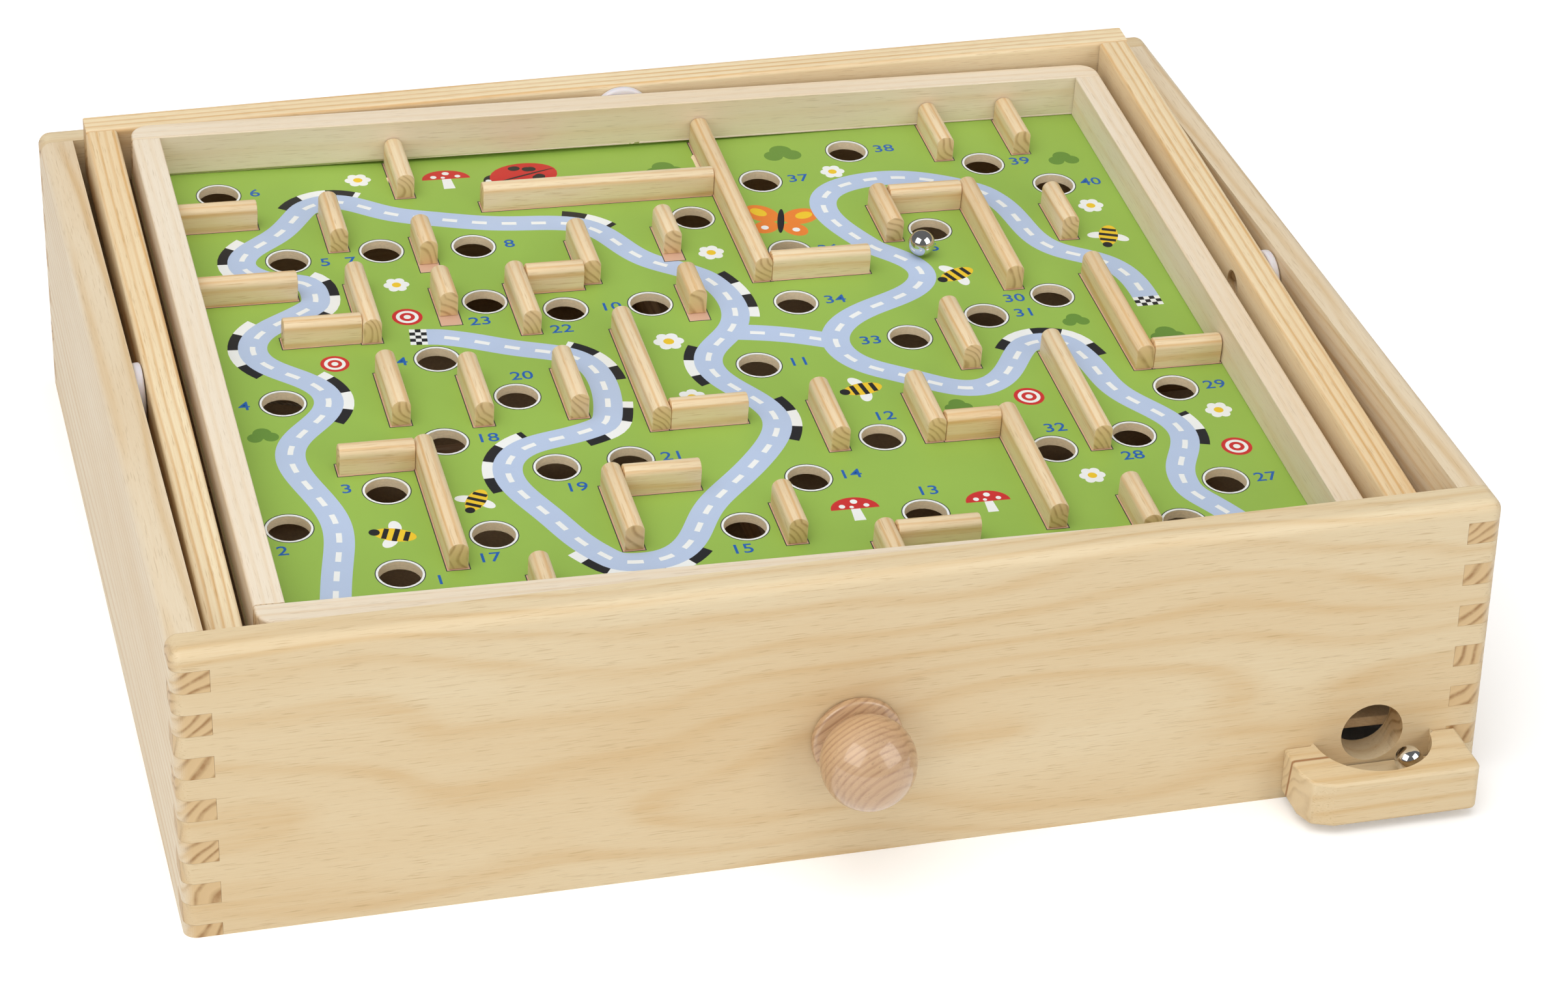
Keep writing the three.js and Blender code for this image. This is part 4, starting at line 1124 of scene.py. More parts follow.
def stick(start, end, end_r, seed):
    """Stick with a rounded back: the profile, a half ellipse on straight sides, is carried along the line and
    drawn in slightly at both ends."""
    run = end - start
    length = np.linalg.norm(run)
    turn = np.radians(np.linspace(0, 180, 17))
    crown = np.stack([MAZE_T / 2 * np.cos(turn),
                      MAZE_SHOULDER + (MAZE_HEIGHT - MAZE_SHOULDER) * np.sin(turn)], axis=1)
    profile = np.concatenate([[(MAZE_T / 2, SHEET_T)], crown, [(-MAZE_T / 2, SHEET_T)]])
    middle = np.array([0, MAZE_SHOULDER / 2])
    inset = middle + (profile - middle) * (1 - np.array([end_r / (MAZE_T / 2), end_r / (MAZE_HEIGHT / 2)]))
    inset[:, 1] = np.maximum(inset[:, 1], SHEET_T)
    early = 0.3
    stations = np.array([0, end_r * early, end_r, length / 2, length - end_r, length - end_r * early, length])
    blend = np.array([1, early, 0, 0, 0, early, 1])[:, None, None]
    rows = profile * (1 - blend) + inset * blend
    across = np.array([run[1], -run[0]]) / length
    count = len(profile)
    flat = start + stations[:, None, None] * (run / length) + rows[..., :1] * across
    points = np.concatenate([flat, PLAY_TOP + rows[..., 1:]], axis=2).reshape(-1, 3)
    last = (len(stations) - 1) * count
    caps = np.stack([np.arange(count), last + np.arange(count)[::-1]])
    outward = ring_quads(len(stations), count)[:, [0, 3, 2, 1]]
    return Surface(points, outward, caps).cut_along(int(abs(run[1]) > abs(run[0])), seed)


def stick_boxes(margin):
    """Low and high corner of each stick's footprint, grown by the margin."""
    found = []
    for number in range(len(MAZE_shares)):
        for line in stick_lines(number):
            pad = np.array([1, 0] if upright(line) else [0, 1]) * MAZE_T / 2
            found.append((number, line.min(axis=0) - pad - margin, line.max(axis=0) + pad + margin))
    return found


# Printed sheet

def clearance(points):
    """Distance from each point to the nearest hole or stick, and the unit direction away from it."""
    holes = points[:, None] - HOLES[None]
    gaps = [np.linalg.norm(holes, axis=2) - HOLE_R - RIM_CLEAR]
    ways = [holes]
    for _, low, high in stick_boxes(0):
        away = points - np.clip(points, low, high)
        gaps.append(np.linalg.norm(away, axis=1)[:, None])
        ways.append(away[:, None])
    gap = np.concatenate(gaps, axis=1)
    way = np.concatenate(ways, axis=1)
    nearest = gap.argmin(axis=1)
    pick = np.arange(len(points))
    direction = way[pick, nearest]
    return gap[pick, nearest], direction / np.maximum(np.linalg.norm(direction, axis=1, keepdims=True), 1e-6)


def even_spacing(points, step):
    """The same line with its points at even steps."""
    run = np.concatenate([[0], np.cumsum(np.linalg.norm(np.diff(points, axis=0), axis=1))])
    at = np.linspace(0, run[-1], int(run[-1] / step) + 2)
    return np.stack([np.interp(at, run, points[:, 0]), np.interp(at, run, points[:, 1])], axis=1)


def road_line(waypoints, half_width, rounds=60):
    """Middle line of a road: straight runs between the waypoints, then rounds of pushing away from holes and
    sticks and of averaging each point with its neighbours."""
    points = even_spacing(np.array(waypoints) * PLAY_SIZE, 1.0)
    for _ in range(rounds):
        gap, way = clearance(points)
        push = np.clip(half_width + ROAD_CLEAR - gap, 0, LONGEST_PUSH)[:, None] * way
        moved = points + PUSH_SHARE * push
        for _ in range(3):
            moved[1:-1] = (moved[:-2] + 2 * moved[1:-1] + moved[2:]) / 4
        moved[[0, -1]] = points[[0, -1]]
        points = moved
    return even_spacing(points, ROAD_STEP)


def square_to(points):
    """Unit direction to the left of a line at each of its points."""
    run = np.gradient(points, axis=0)
    run /= np.linalg.norm(run, axis=1, keepdims=True)
    return np.stack([-run[:, 1], run[:, 0]], axis=1)


def strips(points, near, far, size):
    """Short ribbon polygons between two offsets of a line, each of the given number of steps."""
    left = square_to(points)
    found = []
    for first in range(0, len(points) - 1, size):
        part = slice(first, min(first + size, len(points) - 1) + 1)
        inner = points[part] + near * left[part]
        outer = points[part] + far * left[part]
        found.append(np.concatenate([inner, outer[::-1]]))
    return found


def road_shapes(road, half_width, half_dash=0.8):
    """Ribbon of a road, and the dashes along its middle."""
    shapes = [("road_blue", ring) for ring in strips(road, -half_width, half_width, 8)]
    return shapes + [("white", ring) for ring in strips(road, -half_dash, half_dash, 3)[1:-1:2]]


def picture_gaps(points, pictures):
    """Distance from each point to the nearest picture's circle."""
    circles = np.array([row[1:4] for row in pictures])
    return (np.linalg.norm(circles[None, :, :2] - points[:, None], axis=2) - circles[None, :, 2]).min(axis=1)


def kerb_shapes(road, others, half_width, kerb, pictures):
    """Black and white blocks on the outside of each sharp bend, wherever they are clear of holes, sticks, pictures
    and the other roads for a few blocks on end."""
    run = np.gradient(road, axis=0)
    heading = np.unwrap(np.arctan2(run[:, 1], run[:, 0]))
    turn = np.zeros(len(road))
    turn[KERB_REACH:-KERB_REACH] = heading[2 * KERB_REACH:] - heading[:-2 * KERB_REACH]
    shapes = []
    for side in (-1, 1):
        middle = road + side * (half_width + kerb / 2) * square_to(road)
        gap = clearance(middle)[0]
        crossing = np.linalg.norm(others[None] - middle[:, None], axis=2).min(axis=1)
        clear = (-side * turn > np.radians(KERB_TURN)) & (gap > kerb / 2 + KERB_CLEAR)
        clear &= (picture_gaps(middle, pictures) > kerb / 2) & (crossing > half_width + kerb)
        edges = np.flatnonzero(np.diff(np.concatenate([[0], clear.astype(int), [0]])))
        for first, last in edges.reshape(-1, 2):
            if last - first < KERB_SHORTEST:
                continue
            rings = strips(road[first:last], side * half_width, side * (half_width + kerb), KERB_STEPS)
            shapes += [("white" if i % 2 else "black", ring) for i, ring in enumerate(rings)]
    return shapes


def settled(picture, roads, half_width, rounds=80):
    """A picture's place, pushed step by step away from the nearest hole, stick and road until it is clear."""
    kind, x, y, size, turn = picture
    spot = np.array([x, y], float)
    limit = PLAY_SIZE / 2 - size - EDGE_CLEAR
    middle_lines = np.concatenate(roads)
    for _ in range(rounds):
        gap, way = clearance(spot[None])
        away = spot - middle_lines
        far = np.linalg.norm(away, axis=1)
        near = far.argmin()
        push = max(size + PICTURE_CLEAR - gap[0], 0) * way[0]
        push = push + max(size + half_width + PICTURE_CLEAR - far[near], 0) * away[near] / max(far[near], 0.1)
        spot = np.clip(spot + PUSH_SHARE * push, -limit, limit)
    return kind, spot[0], spot[1], size, turn


def turned_ring(ring, x, y, degrees):
    """Ring of points turned about the origin and moved to a place."""
    angle = np.radians(degrees)
    turn = np.array([[np.cos(angle), -np.sin(angle)], [np.sin(angle), np.cos(angle)]])
    return ring @ turn.T + [x, y]


def rectangle(low, high):
    """Four corners of an upright rectangle."""
    return np.array([(low[0], low[1]), (high[0], low[1]), (high[0], high[1]), (low[0], high[1])])


def ellipse(x, y, across, along, degrees=0, sides=24):
    """Closed ellipse round a place."""
    return turned_ring(circle(0, 0, 1, sides) * [across, along], x, y, degrees)


def ladybird():
    """Red beetle from above: body, head, middle line and round spots."""
    shapes = [("black", ellipse(-0.78, 0, 0.34, 0.42)), ("red", ellipse(0, 0, 0.92, 0.72)),
              ("black", ellipse(0, 0, 0.92, 0.035)),
              ("white", circle(-0.95, 0.16, 0.08, 12)), ("white", circle(-0.95, -0.16, 0.08, 12))]
    for x, y in ((0.42, 0.3), (0.5, 0.25), (0.12, 0.62), (0.16, 0.62)):
        for side in (1, -1):
            shapes.append(("black", circle(x - 0.15, side * (0.62 * y + 0.08), 0.14, 16)))
    return shapes


def butterfly():
    """Four orange wings with yellow eyes, and a dark body."""
    shapes = []
    for side in (-1, 1):
        shapes += [("orange", ellipse(side * 0.5, 0.3, 0.5, 0.36, side * 35)),
                   ("orange", ellipse(side * 0.38, -0.36, 0.36, 0.28, side * -40)),
                   ("yellow", ellipse(side * 0.58, 0.36, 0.24, 0.16, side * 35)),
                   ("white", circle(side * 0.4, -0.38, 0.1, 12))]
    return shapes + [("black", ellipse(0, 0, 0.09, 0.6))]


def toadstool():
    """Red cap with white dots on a pale stem."""
    shapes = [("white", np.array([(-0.24, -0.8), (0.24, -0.8), (0.18, 0.1), (-0.18, 0.1)])),
              ("red", arc((0, 0), 1, 0, 180, 20) * [1, 0.8])]
    for x, y, radius in ((-0.5, 0.22, 0.13), (0.05, 0.5, 0.15), (0.5, 0.2, 0.12), (-0.12, 0.14, 0.09)):
        shapes.append(("white", circle(x, y, radius, 14)))
    return shapes


def bee():
    """Yellow body with black bands, and two pale wings."""
    shapes = [("white", ellipse(-0.1, 0.6, 0.3, 0.5, 20)), ("white", ellipse(-0.1, -0.6, 0.3, 0.5, -20)),
              ("yellow", ellipse(0, 0, 1, 0.5))]
    for x in (-0.45, 0.05, 0.55):
        tall = 0.5 * np.sqrt(1 - (abs(x) + 0.12) ** 2)
        shapes.append(("black", rectangle((x - 0.12, -tall), (x + 0.12, tall))))
    return shapes + [("black", circle(-0.95, 0, 0.26, 16))]


def target():
    """Red and white rings."""
    return [(ink, circle(0, 0, share, 28))
            for ink, share in (("red", 1.0), ("white", 0.74), ("red", 0.5), ("white", 0.24))]


def flower():
    """Six round white petals and a yellow eye."""
    petals = [("white", circle(*spot, 0.4, 14)) for spot in circle(0, 0, 0.62, 6)]
    return petals + [("yellow", circle(0, 0, 0.36, 16))]


def bush():
    """Three round leafy heads."""
    return [("leaf_green", circle(x, y, radius, 20))
            for x, y, radius in ((-0.5, -0.15, 0.5), (0.5, -0.15, 0.5), (0, 0.3, 0.6))]


# Pictures are drawn at a size of one round the origin
PICTURE_MAKERS = {maker.__name__: maker for maker in (ladybird, butterfly, toadstool, bee, target, flower, bush)}


def picture_shapes(pictures):
    """Every picture at its place."""
    return [(ink, turned_ring(ring * size, x, y, degrees))
            for kind, x, y, size, degrees in pictures for ink, ring in PICTURE_MAKERS[kind]()]


def chequers(x, y, size, degrees, columns=3, rows=5):
    """Black and white squares in a block across a road's end."""
    shapes = []
    for i in range(columns):
        for j in range(rows):
            low = np.array([i - columns / 2, j - rows / 2]) * size
            ring = rectangle(low, low + size)
            shapes.append(("black" if (i + j) % 2 else "white", turned_ring(ring, x, y, degrees)))
    return shapes


def window_shapes():
    """Dark rim round each stick's window in the sheet, painting the sheet's cut edge and the shade along it, with
    bare board between it and the stick, and more of it where the window is too long."""
    shapes = []
    for number, low, high in stick_boxes(STICK_GAP):
        low = low - [0, LONG_WINDOWS.get(number + 1, 0)]
        # The window's dark rim is painted shade of the sheet's cut edge
        shapes += [("outline", rectangle(low - OUTLINE, high + OUTLINE)), ("bare_board", rectangle(low, high))]
    return shapes


@cache
def layout(half_width):
    """Middle lines of the roads, and the pictures at their settled places."""
    roads = [road_line(waypoints, half_width) for waypoints in ROAD_shares]
    return roads, [settled(picture, roads, half_width) for picture in PICTURES]


def printed_shapes(settings):
    """All printed shapes in painting order, with the windows' rims of painted edge shade last."""
    half = settings.road_width / MM / 2
    rim = HOLE_R + settings.rim_width / MM
    roads, pictures = layout(half)
    shapes = picture_shapes(pictures)
    for index, road in enumerate(roads[:2]):
        others = np.concatenate(roads[:index] + roads[index + 1:])
        shapes += kerb_shapes(road, others, half, settings.kerb_width / MM, pictures)
    for road in (roads[2], roads[0], roads[1]):
        shapes += road_shapes(road, half)
    for road, tip, beside in ((roads[0], 0, 1), (roads[0], -1, -2), (roads[1], -1, -2)):
        run = road[tip] - road[beside]
        shapes += chequers(*road[tip], half * 2 / 5, np.degrees(np.arctan2(run[1], run[0])))
    for x, y in HOLES:
        shapes += [("outline", circle(x, y, rim + OUTLINE, 40)), ("white", circle(x, y, rim, 40))]
    return shapes + window_shapes()


def printed_sheet(settings):
    """Printed sheet: a net through every printed outline, each triangle inked by the last shape over its middle."""
    shapes = printed_shapes(settings)
    holes = [circle(x, y, HOLE_R) for x, y in HOLES]
    outline = rounded_outline(TRAY_WIDTH / 2, TRAY_DEPTH / 2, TRAY_CORNER_R)
    flat, triangles = net([outline] + holes + [ring for _, ring in shapes], even_points(step=7))
    triangles = without_holes(flat, triangles)
    middles = flat[triangles].mean(axis=1)
    names = list(INKS)
    ink = np.zeros(len(triangles), int)
    for name, ring in shapes:
        ink[inside(middles, ring)] = names.index(name)
    sag = settings.sag / MM
    top = SHEET_TOP + bow(flat, sag)
    sheet = extruded(flat, triangles, top, PLAY_TOP + SHEET_LIFT + bow(flat, sag))
    sheet.ink[:len(ink)] = ink
    sheet.ink[len(ink):] = names.index("white")
    return sheet


def number_order():
    """Number of each hole: its rank along the first road, then along the second."""
    reach = []
    for place in HOLES:
        best = []
        for number, waypoints in enumerate(ROAD_shares[:2]):
            road = even_spacing(np.array(waypoints) * PLAY_SIZE, 2.0)
            gap = np.linalg.norm(road - place, axis=1)
            best.append((gap.min(), number, int(gap.argmin())))
        reach.append(min(best)[1:])
    ranked = sorted(range(len(reach)), key=reach.__getitem__)
    return np.argsort(ranked) + 1


def number_places(order, half_width):
    """A clear place beside each hole: of all angles and a few distances, the one whose box of test points is
    farthest from sticks, holes, roads, pictures and the numbers already placed, a near and level one for choice."""
    roads, pictures = layout(half_width)
    middle_lines = np.concatenate(roads)
    limit = PLAY_SIZE / 2 - 1
    cost_per_mm = 0.06
    cost_upright = 0.1
    taken = []
    places = {}
    for index in np.argsort(order):
        half = np.array(ONE_FIGURE if order[index] < 10 else TWO_FIGURES)
        grid = np.stack(np.meshgrid(np.linspace(-1, 1, 5), np.linspace(-1, 1, 3)), axis=-1).reshape(-1, 2) * half
        tries = []
        for distance in FIGURE_DISTANCES:
            for angle in np.radians(range(0, 360, 12)):
                spot = HOLES[index] + distance * np.array([np.cos(angle), np.sin(angle)])
                if (np.abs(spot) + half > limit).any():
                    continue
                box = spot + grid
                gap = min(1.0, clearance(box)[0].min(), picture_gaps(box, pictures).min(),
                          np.linalg.norm(middle_lines[None] - box[:, None], axis=2).min() - half_width)
                for other, size in taken:
                    gap = min(gap, (np.abs(spot - other) - half - size).max())
                tries.append((gap - cost_per_mm * distance - cost_upright * abs(np.sin(angle)), tuple(spot)))
        spot = np.array(max(tries)[1])
        taken.append((spot, half))
        places[index] = spot
    return places


def number_surface(text, x, y, height, sag):
    """Figures as a thin flat solid, from the plain built-in letter shapes."""
    curve = bpy.data.curves.new("figures", "FONT")
    curve.body = text
    curve.size = height
    curve.offset = FIGURE_BOLDER
    curve.extrude = FIGURE_T / 2
    curve.align_x = "CENTER"
    curve.align_y = "CENTER"
    curve.resolution_u = 3
    holder = bpy.data.objects.new("figures", curve)
    mesh = bpy.data.meshes.new_from_object(holder)
    mesh.calc_loop_triangles()
    points = np.empty(len(mesh.vertices) * 3)
    mesh.vertices.foreach_get("co", points)
    points = points.reshape(-1, 3)
    faces = np.empty(len(mesh.loop_triangles) * 3, int)
    mesh.loop_triangles.foreach_get("vertices", faces)
    bpy.data.meshes.remove(mesh)
    bpy.data.objects.remove(holder)
    bpy.data.curves.remove(curve)
    points[:, :2] = points[:, :2] * [FIGURE_WIDER, 1] + [x, y]
    points[:, 2] += SHEET_TOP + bow(points[:, :2], sag) + FIGURE_T / 2
    return Surface(points, faces.reshape(-1, 3))


# Turned and moulded parts

def knob():
    """Turned knob, upwards from its foot: bore, rounded collar, neck groove and ball head."""
    edge = KNOB_COLLAR_R - KNOB_SOFT
    neck = np.degrees(np.arcsin(KNOB_NECK_R / KNOB_R))
    profile = np.concatenate([
        [(0, KNOB_BORE), (ROD_HOLE_R, KNOB_BORE), (ROD_HOLE_R, 0), (edge, 0)],
        arc((edge, KNOB_SOFT), KNOB_SOFT, -80, 0, 5), arc((edge, KNOB_COLLAR_T - KNOB_SOFT), KNOB_SOFT, 0, 90, 6),
        arc((0, KNOB_LENGTH - KNOB_R), KNOB_R, neck - 90, 90, 40)])
    profile[-1, 0] = 0
    return revolved(profile, sides=72)


def chamfered(radius, end):
    """Upper end of a round bar, from its side to its middle."""
    return [(radius, end - CHAMFER), (radius - CHAMFER, end), (0, end)]


def mirrored_profile(upper):
    """Profile of a part that is the same both ways up, from its upper half."""
    upper = np.asarray(upper, float)
    return np.concatenate([upper[::-1] * [1, -1], upper])


def dowel(length):
    """Dowel rod about its middle, with chamfered ends."""
    return revolved(mirrored_profile(chamfered(ROD_R, length / 2)), sides=40)


def pivot():
    """Moulded pivot about its middle: a flange with a domed rim and a shank on each side."""
    half = FLANGE_T / 2
    rim = arc((FLANGE_R - FLANGE_DOME, half - FLANGE_DOME), FLANGE_DOME, 0, 90, 6)
    return revolved(mirrored_profile([*rim, (SHANK_R, half), *chamfered(SHANK_R, half + SHANK_LENGTH)]), sides=56)


def ball(x, y, z):
    """Ball: a half circle carried round."""
    profile = arc((0, 0), BALL_R, -90, 90, 33)
    profile[[0, -1], 0] = 0
    return revolved(profile, sides=64).moved(Matrix.Translation((x, y, z)))


# Operators: settings first

class LABYRINTH_PG_box(bpy.types.PropertyGroup):
    """Box boards."""
    edge_round: FloatProperty(name="Edge round", description="Radius of the outer corners and top edges",
                              default=0.0036, unit="LENGTH")
    joint_gap: FloatProperty(name="Joint gap", description="Gap at each finger", default=0.00006, unit="LENGTH")
    floor_colour: FloatVectorProperty(name="Floor colour", description="Pressed board under the maze",
                                      default=srgb(196, 168, 130), subtype="COLOR", size=3)


class LABYRINTH_PG_tray(bpy.types.PropertyGroup):
    """Ring and tray."""
    ring_round: FloatProperty(name="Ring round", description="Radius of the ring bars' long edges",
                              default=0.0013, unit="LENGTH")
    wall_round: FloatProperty(name="Wall round", description="Radius of the tray walls' top edge",
                              default=0.001, unit="LENGTH")
    board_colour: FloatVectorProperty(name="Board colour", description="Pressed board seen in the holes",
                                      default=srgb(250, 230, 194), subtype="COLOR", size=3)
    stick_end: FloatProperty(name="Stick end", description="Softening of the sticks' ends",
                             default=0.00045, unit="LENGTH")


class LABYRINTH_PG_print(bpy.types.PropertyGroup):
    """Printed sheet."""
    road_width: FloatProperty(name="Road width", description="Width of the printed road",
                              default=0.0084, unit="LENGTH")
    kerb_width: FloatProperty(name="Kerb width", description="Width of the striped kerbs",
                              default=0.003, unit="LENGTH")
    rim_width: FloatProperty(name="Rim width", description="White rim printed round each hole",
                             default=0.0006, unit="LENGTH")
    sag: FloatProperty(name="Sag", description="How far the board sags at the back wall",
                       default=0.0015, unit="LENGTH")
    figure_height: FloatProperty(name="Figure height", description="Size of the printed numbers",
                                 default=0.006, unit="LENGTH")
    figure_colour: FloatVectorProperty(name="Figure colour", description="Blue of the numbers",
                                       default=srgb(30, 98, 178), subtype="COLOR", size=3)


class LABYRINTH_PG_parts(bpy.types.PropertyGroup):
    """Turned, moulded and metal parts."""
    nylon_colour: FloatVectorProperty(name="Nylon colour", description="Moulded pivots",
                                      default=srgb(224, 220, 224), subtype="COLOR", size=3)
    steel_colour: FloatVectorProperty(name="Steel colour", description="Balls and springs",
                                      default=srgb(225, 225, 225), subtype="COLOR", size=3)
    cord_colour: FloatVectorProperty(name="Cord colour", description="Twisted cords",
                                     default=srgb(222, 216, 200), subtype="COLOR", size=3)
    spring_turns: IntProperty(name="Spring turns", description="Coils in each spring", default=11, min=3)


class LABYRINTH_PG_stage(bpy.types.PropertyGroup):
    """Camera and light."""
    key_power: FloatProperty(name="Key power", description="Large soft lamp overhead", default=26.5, unit="POWER")
    fill_power: FloatProperty(name="Fill power", description="Soft lamps in front", default=7.8, unit="POWER")
    softbox_power: FloatProperty(name="Softbox power", description="Soft boxes that the balls mirror", default=26,
                                 unit="POWER")
    sky_strength: FloatProperty(name="Sky strength", description="Even light from all round", default=0.5)


class Maker:
    """Shared part of the operators."""
    bl_options = {"REGISTER", "UNDO"}


class LABYRINTH_OT_boards(Maker, bpy.types.Operator):
    """Build the four finger-jointed boards"""
    bl_idname = "labyrinth.boards"
    bl_label = "Box boards"

    def execute(self, context):
        settings = context.scene.labyrinth_box
        round_r = settings.edge_round / MM
        gap = settings.joint_gap / MM
        boards = {"front_board": long_board(-1, round_r, gap), "back_board": long_board(1, round_r, gap),
                  "left_board": side_board(-1, round_r, gap), "right_board": side_board(1, round_r, gap)}
        for name, surface in boards.items():
            material = sawn("side_pine" if name in ("left_board", "right_board") else "box_pine")
            make_piece("pine_" + name, surface, "box", [material], [name])
        return {"FINISHED"}


class LABYRINTH_OT_floor(Maker, bpy.types.Operator):
    """Build the sloping floor under the maze"""
    bl_idname = "labyrinth.floor"
    bl_label = "Sloping floor"

    def execute(self, context):
        board = fibre_board("floor_board", tuple(context.scene.labyrinth_box.floor_colour), 0.7)
        make_piece("pressed_floor", sloped_floor(), "box", [board], ["sloped_floor"], bevel=0.3)
        return {"FINISHED"}


class LABYRINTH_OT_catch(Maker, bpy.types.Operator):
    """Build the block that catches the ball"""
    bl_idname = "labyrinth.catch"
    bl_label = "Catch block"

    def execute(self, context):
        make_piece("catch_block", catch_block(), "box", [sawn("catch_pine")], ["ball_catch"], bevel=0.7)
        return {"FINISHED"}


class LABYRINTH_OT_ring(Maker, bpy.types.Operator):
    """Build the tilting ring's bars and their cord pegs"""
    bl_idname = "labyrinth.ring"
    bl_label = "Ring bars"

    def execute(self, context):
        round_r = context.scene.labyrinth_tray.ring_round / MM
        quarter = Matrix.Rotation(np.pi / 2, 4, "Z")
        for name, end in (("ring_front_bar", -1), ("ring_back_bar", 1)):
            bar = ring_bar(RING_WIDTH, round_r, end)
            bar.moved(Matrix.Translation((0, end * (RING_DEPTH - RING_T) / 2, 0))).cut_along(0, seed=61 + end)
            pin = peg(RING_CORD_X, end * (RING_DEPTH / 2 - PEG_INSET), -RING_HEIGHT / 2)
            make_piece("sawn_" + name, joined([bar, pin]), "ring", [sawn("ring_sawn_pine")], [name],
                       bevel=0.2)
        for name, side in (("ring_left_bar", -1), ("ring_right_bar", 1)):
            bar = ring_bar(RING_DEPTH - 2 * (RING_T + SHORT_GAP), round_r).moved(quarter)
            bar.moved(Matrix.Translation((side * (RING_WIDTH - RING_T) / 2, 0, 0))).cut_along(1, seed=71 + side)
            make_piece("sawn_" + name, bar, "ring", [sawn("ring_sawn_pine")], [name], bevel=0.2)
        return {"FINISHED"}


class LABYRINTH_OT_tray(Maker, bpy.types.Operator):
    """Build the tray's walls"""
    bl_idname = "labyrinth.tray"
    bl_label = "Tray walls"

    def execute(self, context):
        round_r = context.scene.labyrinth_tray.wall_round / MM
        walls = {"tray_front_wall": tray_cross_wall(-1, round_r), "tray_back_wall": tray_cross_wall(1, round_r),
                 "tray_left_wall": tray_side_wall(-1, round_r), "tray_right_wall": tray_side_wall(1, round_r)}
        for name, surface in walls.items():
            make_piece("pale_" + name, surface, "tray", [sawn("pale_tray_wood")], [name], bevel=0.3)
        return {"FINISHED"}


class LABYRINTH_OT_playfield(Maker, bpy.types.Operator):
    """Build the playfield board with its holes and cord pegs"""
    bl_idname = "labyrinth.playfield"
    bl_label = "Playfield board"

    def execute(self, context):
        scene = context.scene
        board = fibre_board("playfield_fibre", tuple(scene.labyrinth_tray.board_colour), 0.78)
        plate = playfield_board(scene.labyrinth_print.sag / MM)
        reach = TRAY_WIDTH / 2 - PEG_INSET
        pins = [peg(side * reach, TRAY_CORD_Y, PLAY_TOP - PLAYFIELD_T) for side in (-1, 1)]
        make_piece("playfield_board", joined([plate] + pins), "tray", [board], ["playfield"])
        return {"FINISHED"}


class LABYRINTH_OT_sheet(Maker, bpy.types.Operator):
    """Build the printed sheet on the playfield"""
    bl_idname = "labyrinth.sheet"
    bl_label = "Printed sheet"

    def execute(self, context):
        settings = context.scene.labyrinth_print
        make_piece("printed_sheet", printed_sheet(settings), "tray", inks())
        return {"FINISHED"}


class LABYRINTH_OT_figures(Maker, bpy.types.Operator):
    """Print the holes' numbers"""
    bl_idname = "labyrinth.figures"
    bl_label = "Hole numbers"

    def execute(self, context):
        settings = context.scene.labyrinth_print
        order = number_order()
        parts = [number_surface(str(order[index]), x, y, settings.figure_height / MM, settings.sag / MM)
                 for index, (x, y) in number_places(order, settings.road_width / MM / 2).items()]
        ink = printed_ink("ink_figures", tuple(settings.figure_colour))
        make_piece("hole_numbers", joined(parts), "tray", [ink])
        return {"FINISHED"}


class LABYRINTH_OT_sticks(Maker, bpy.types.Operator):
    """Build the glued maze sticks"""
    bl_idname = "labyrinth.sticks"
    bl_label = "Maze sticks"

    def execute(self, context):
        end_r = context.scene.labyrinth_tray.stick_end / MM
        for number in range(len(MAZE_shares)):
            name = f"maze_wall_{number + 1:02d}"
            sticks = [stick(*line, end_r, seed=7 * number + 3 * i + 1) for i, line in enumerate(stick_lines(number))]
            make_piece(name.replace("wall", "stick"), joined(sticks), "tray", [sawn("stick_pine")],
                       [name])
        return {"FINISHED"}


class LABYRINTH_OT_knobs(Maker, bpy.types.Operator):
    """Build the two knobs and the rods they turn"""
    bl_idname = "labyrinth.knobs"
    bl_label = "Knobs and rods"

    def execute(self, context):
        reach = KNOB_BORE - SHORT_GAP
        front = -BOX_DEPTH / 2 - SHORT_GAP
        right = BOX_WIDTH / 2 + SHORT_GAP
        depth_run = BOX_DEPTH - BOARD_T + ROD_SEAT + reach
        width_run = BOX_WIDTH - BOARD_T + ROD_SEAT + reach
        to_front = Matrix.Rotation(np.pi / 2, 4, "X")
        to_right = Matrix.Rotation(np.pi / 2, 4, "Y")
        spots = (("front", Matrix.Translation((0, front, FRONT_ROD_Z)) @ to_front, depth_run),
                 ("side", Matrix.Translation((right, 0, SIDE_ROD_Z)) @ to_right, width_run))
        for number, (name, place, run) in enumerate(spots):
            head = knob().cut_along(1, seed=83 + number).moved(place @ Matrix.Rotation(KNOB_GRAIN_TURN, 4, "Z"))
            make_piece(f"turned_{name}_knob", head, f"{name}_knob", [sawn("lacquered_beech")],
                       [f"{name}_knob"])
            bar = dowel(run).cut_along(2, seed=87 + number)
            bar.moved(place @ Matrix.Translation((0, 0, reach - run / 2)))
            make_piece(f"turned_{name}_rod", bar, f"{name}_knob", [sawn("lacquered_beech")],
                       [f"{name}_rod"])
        return {"FINISHED"}


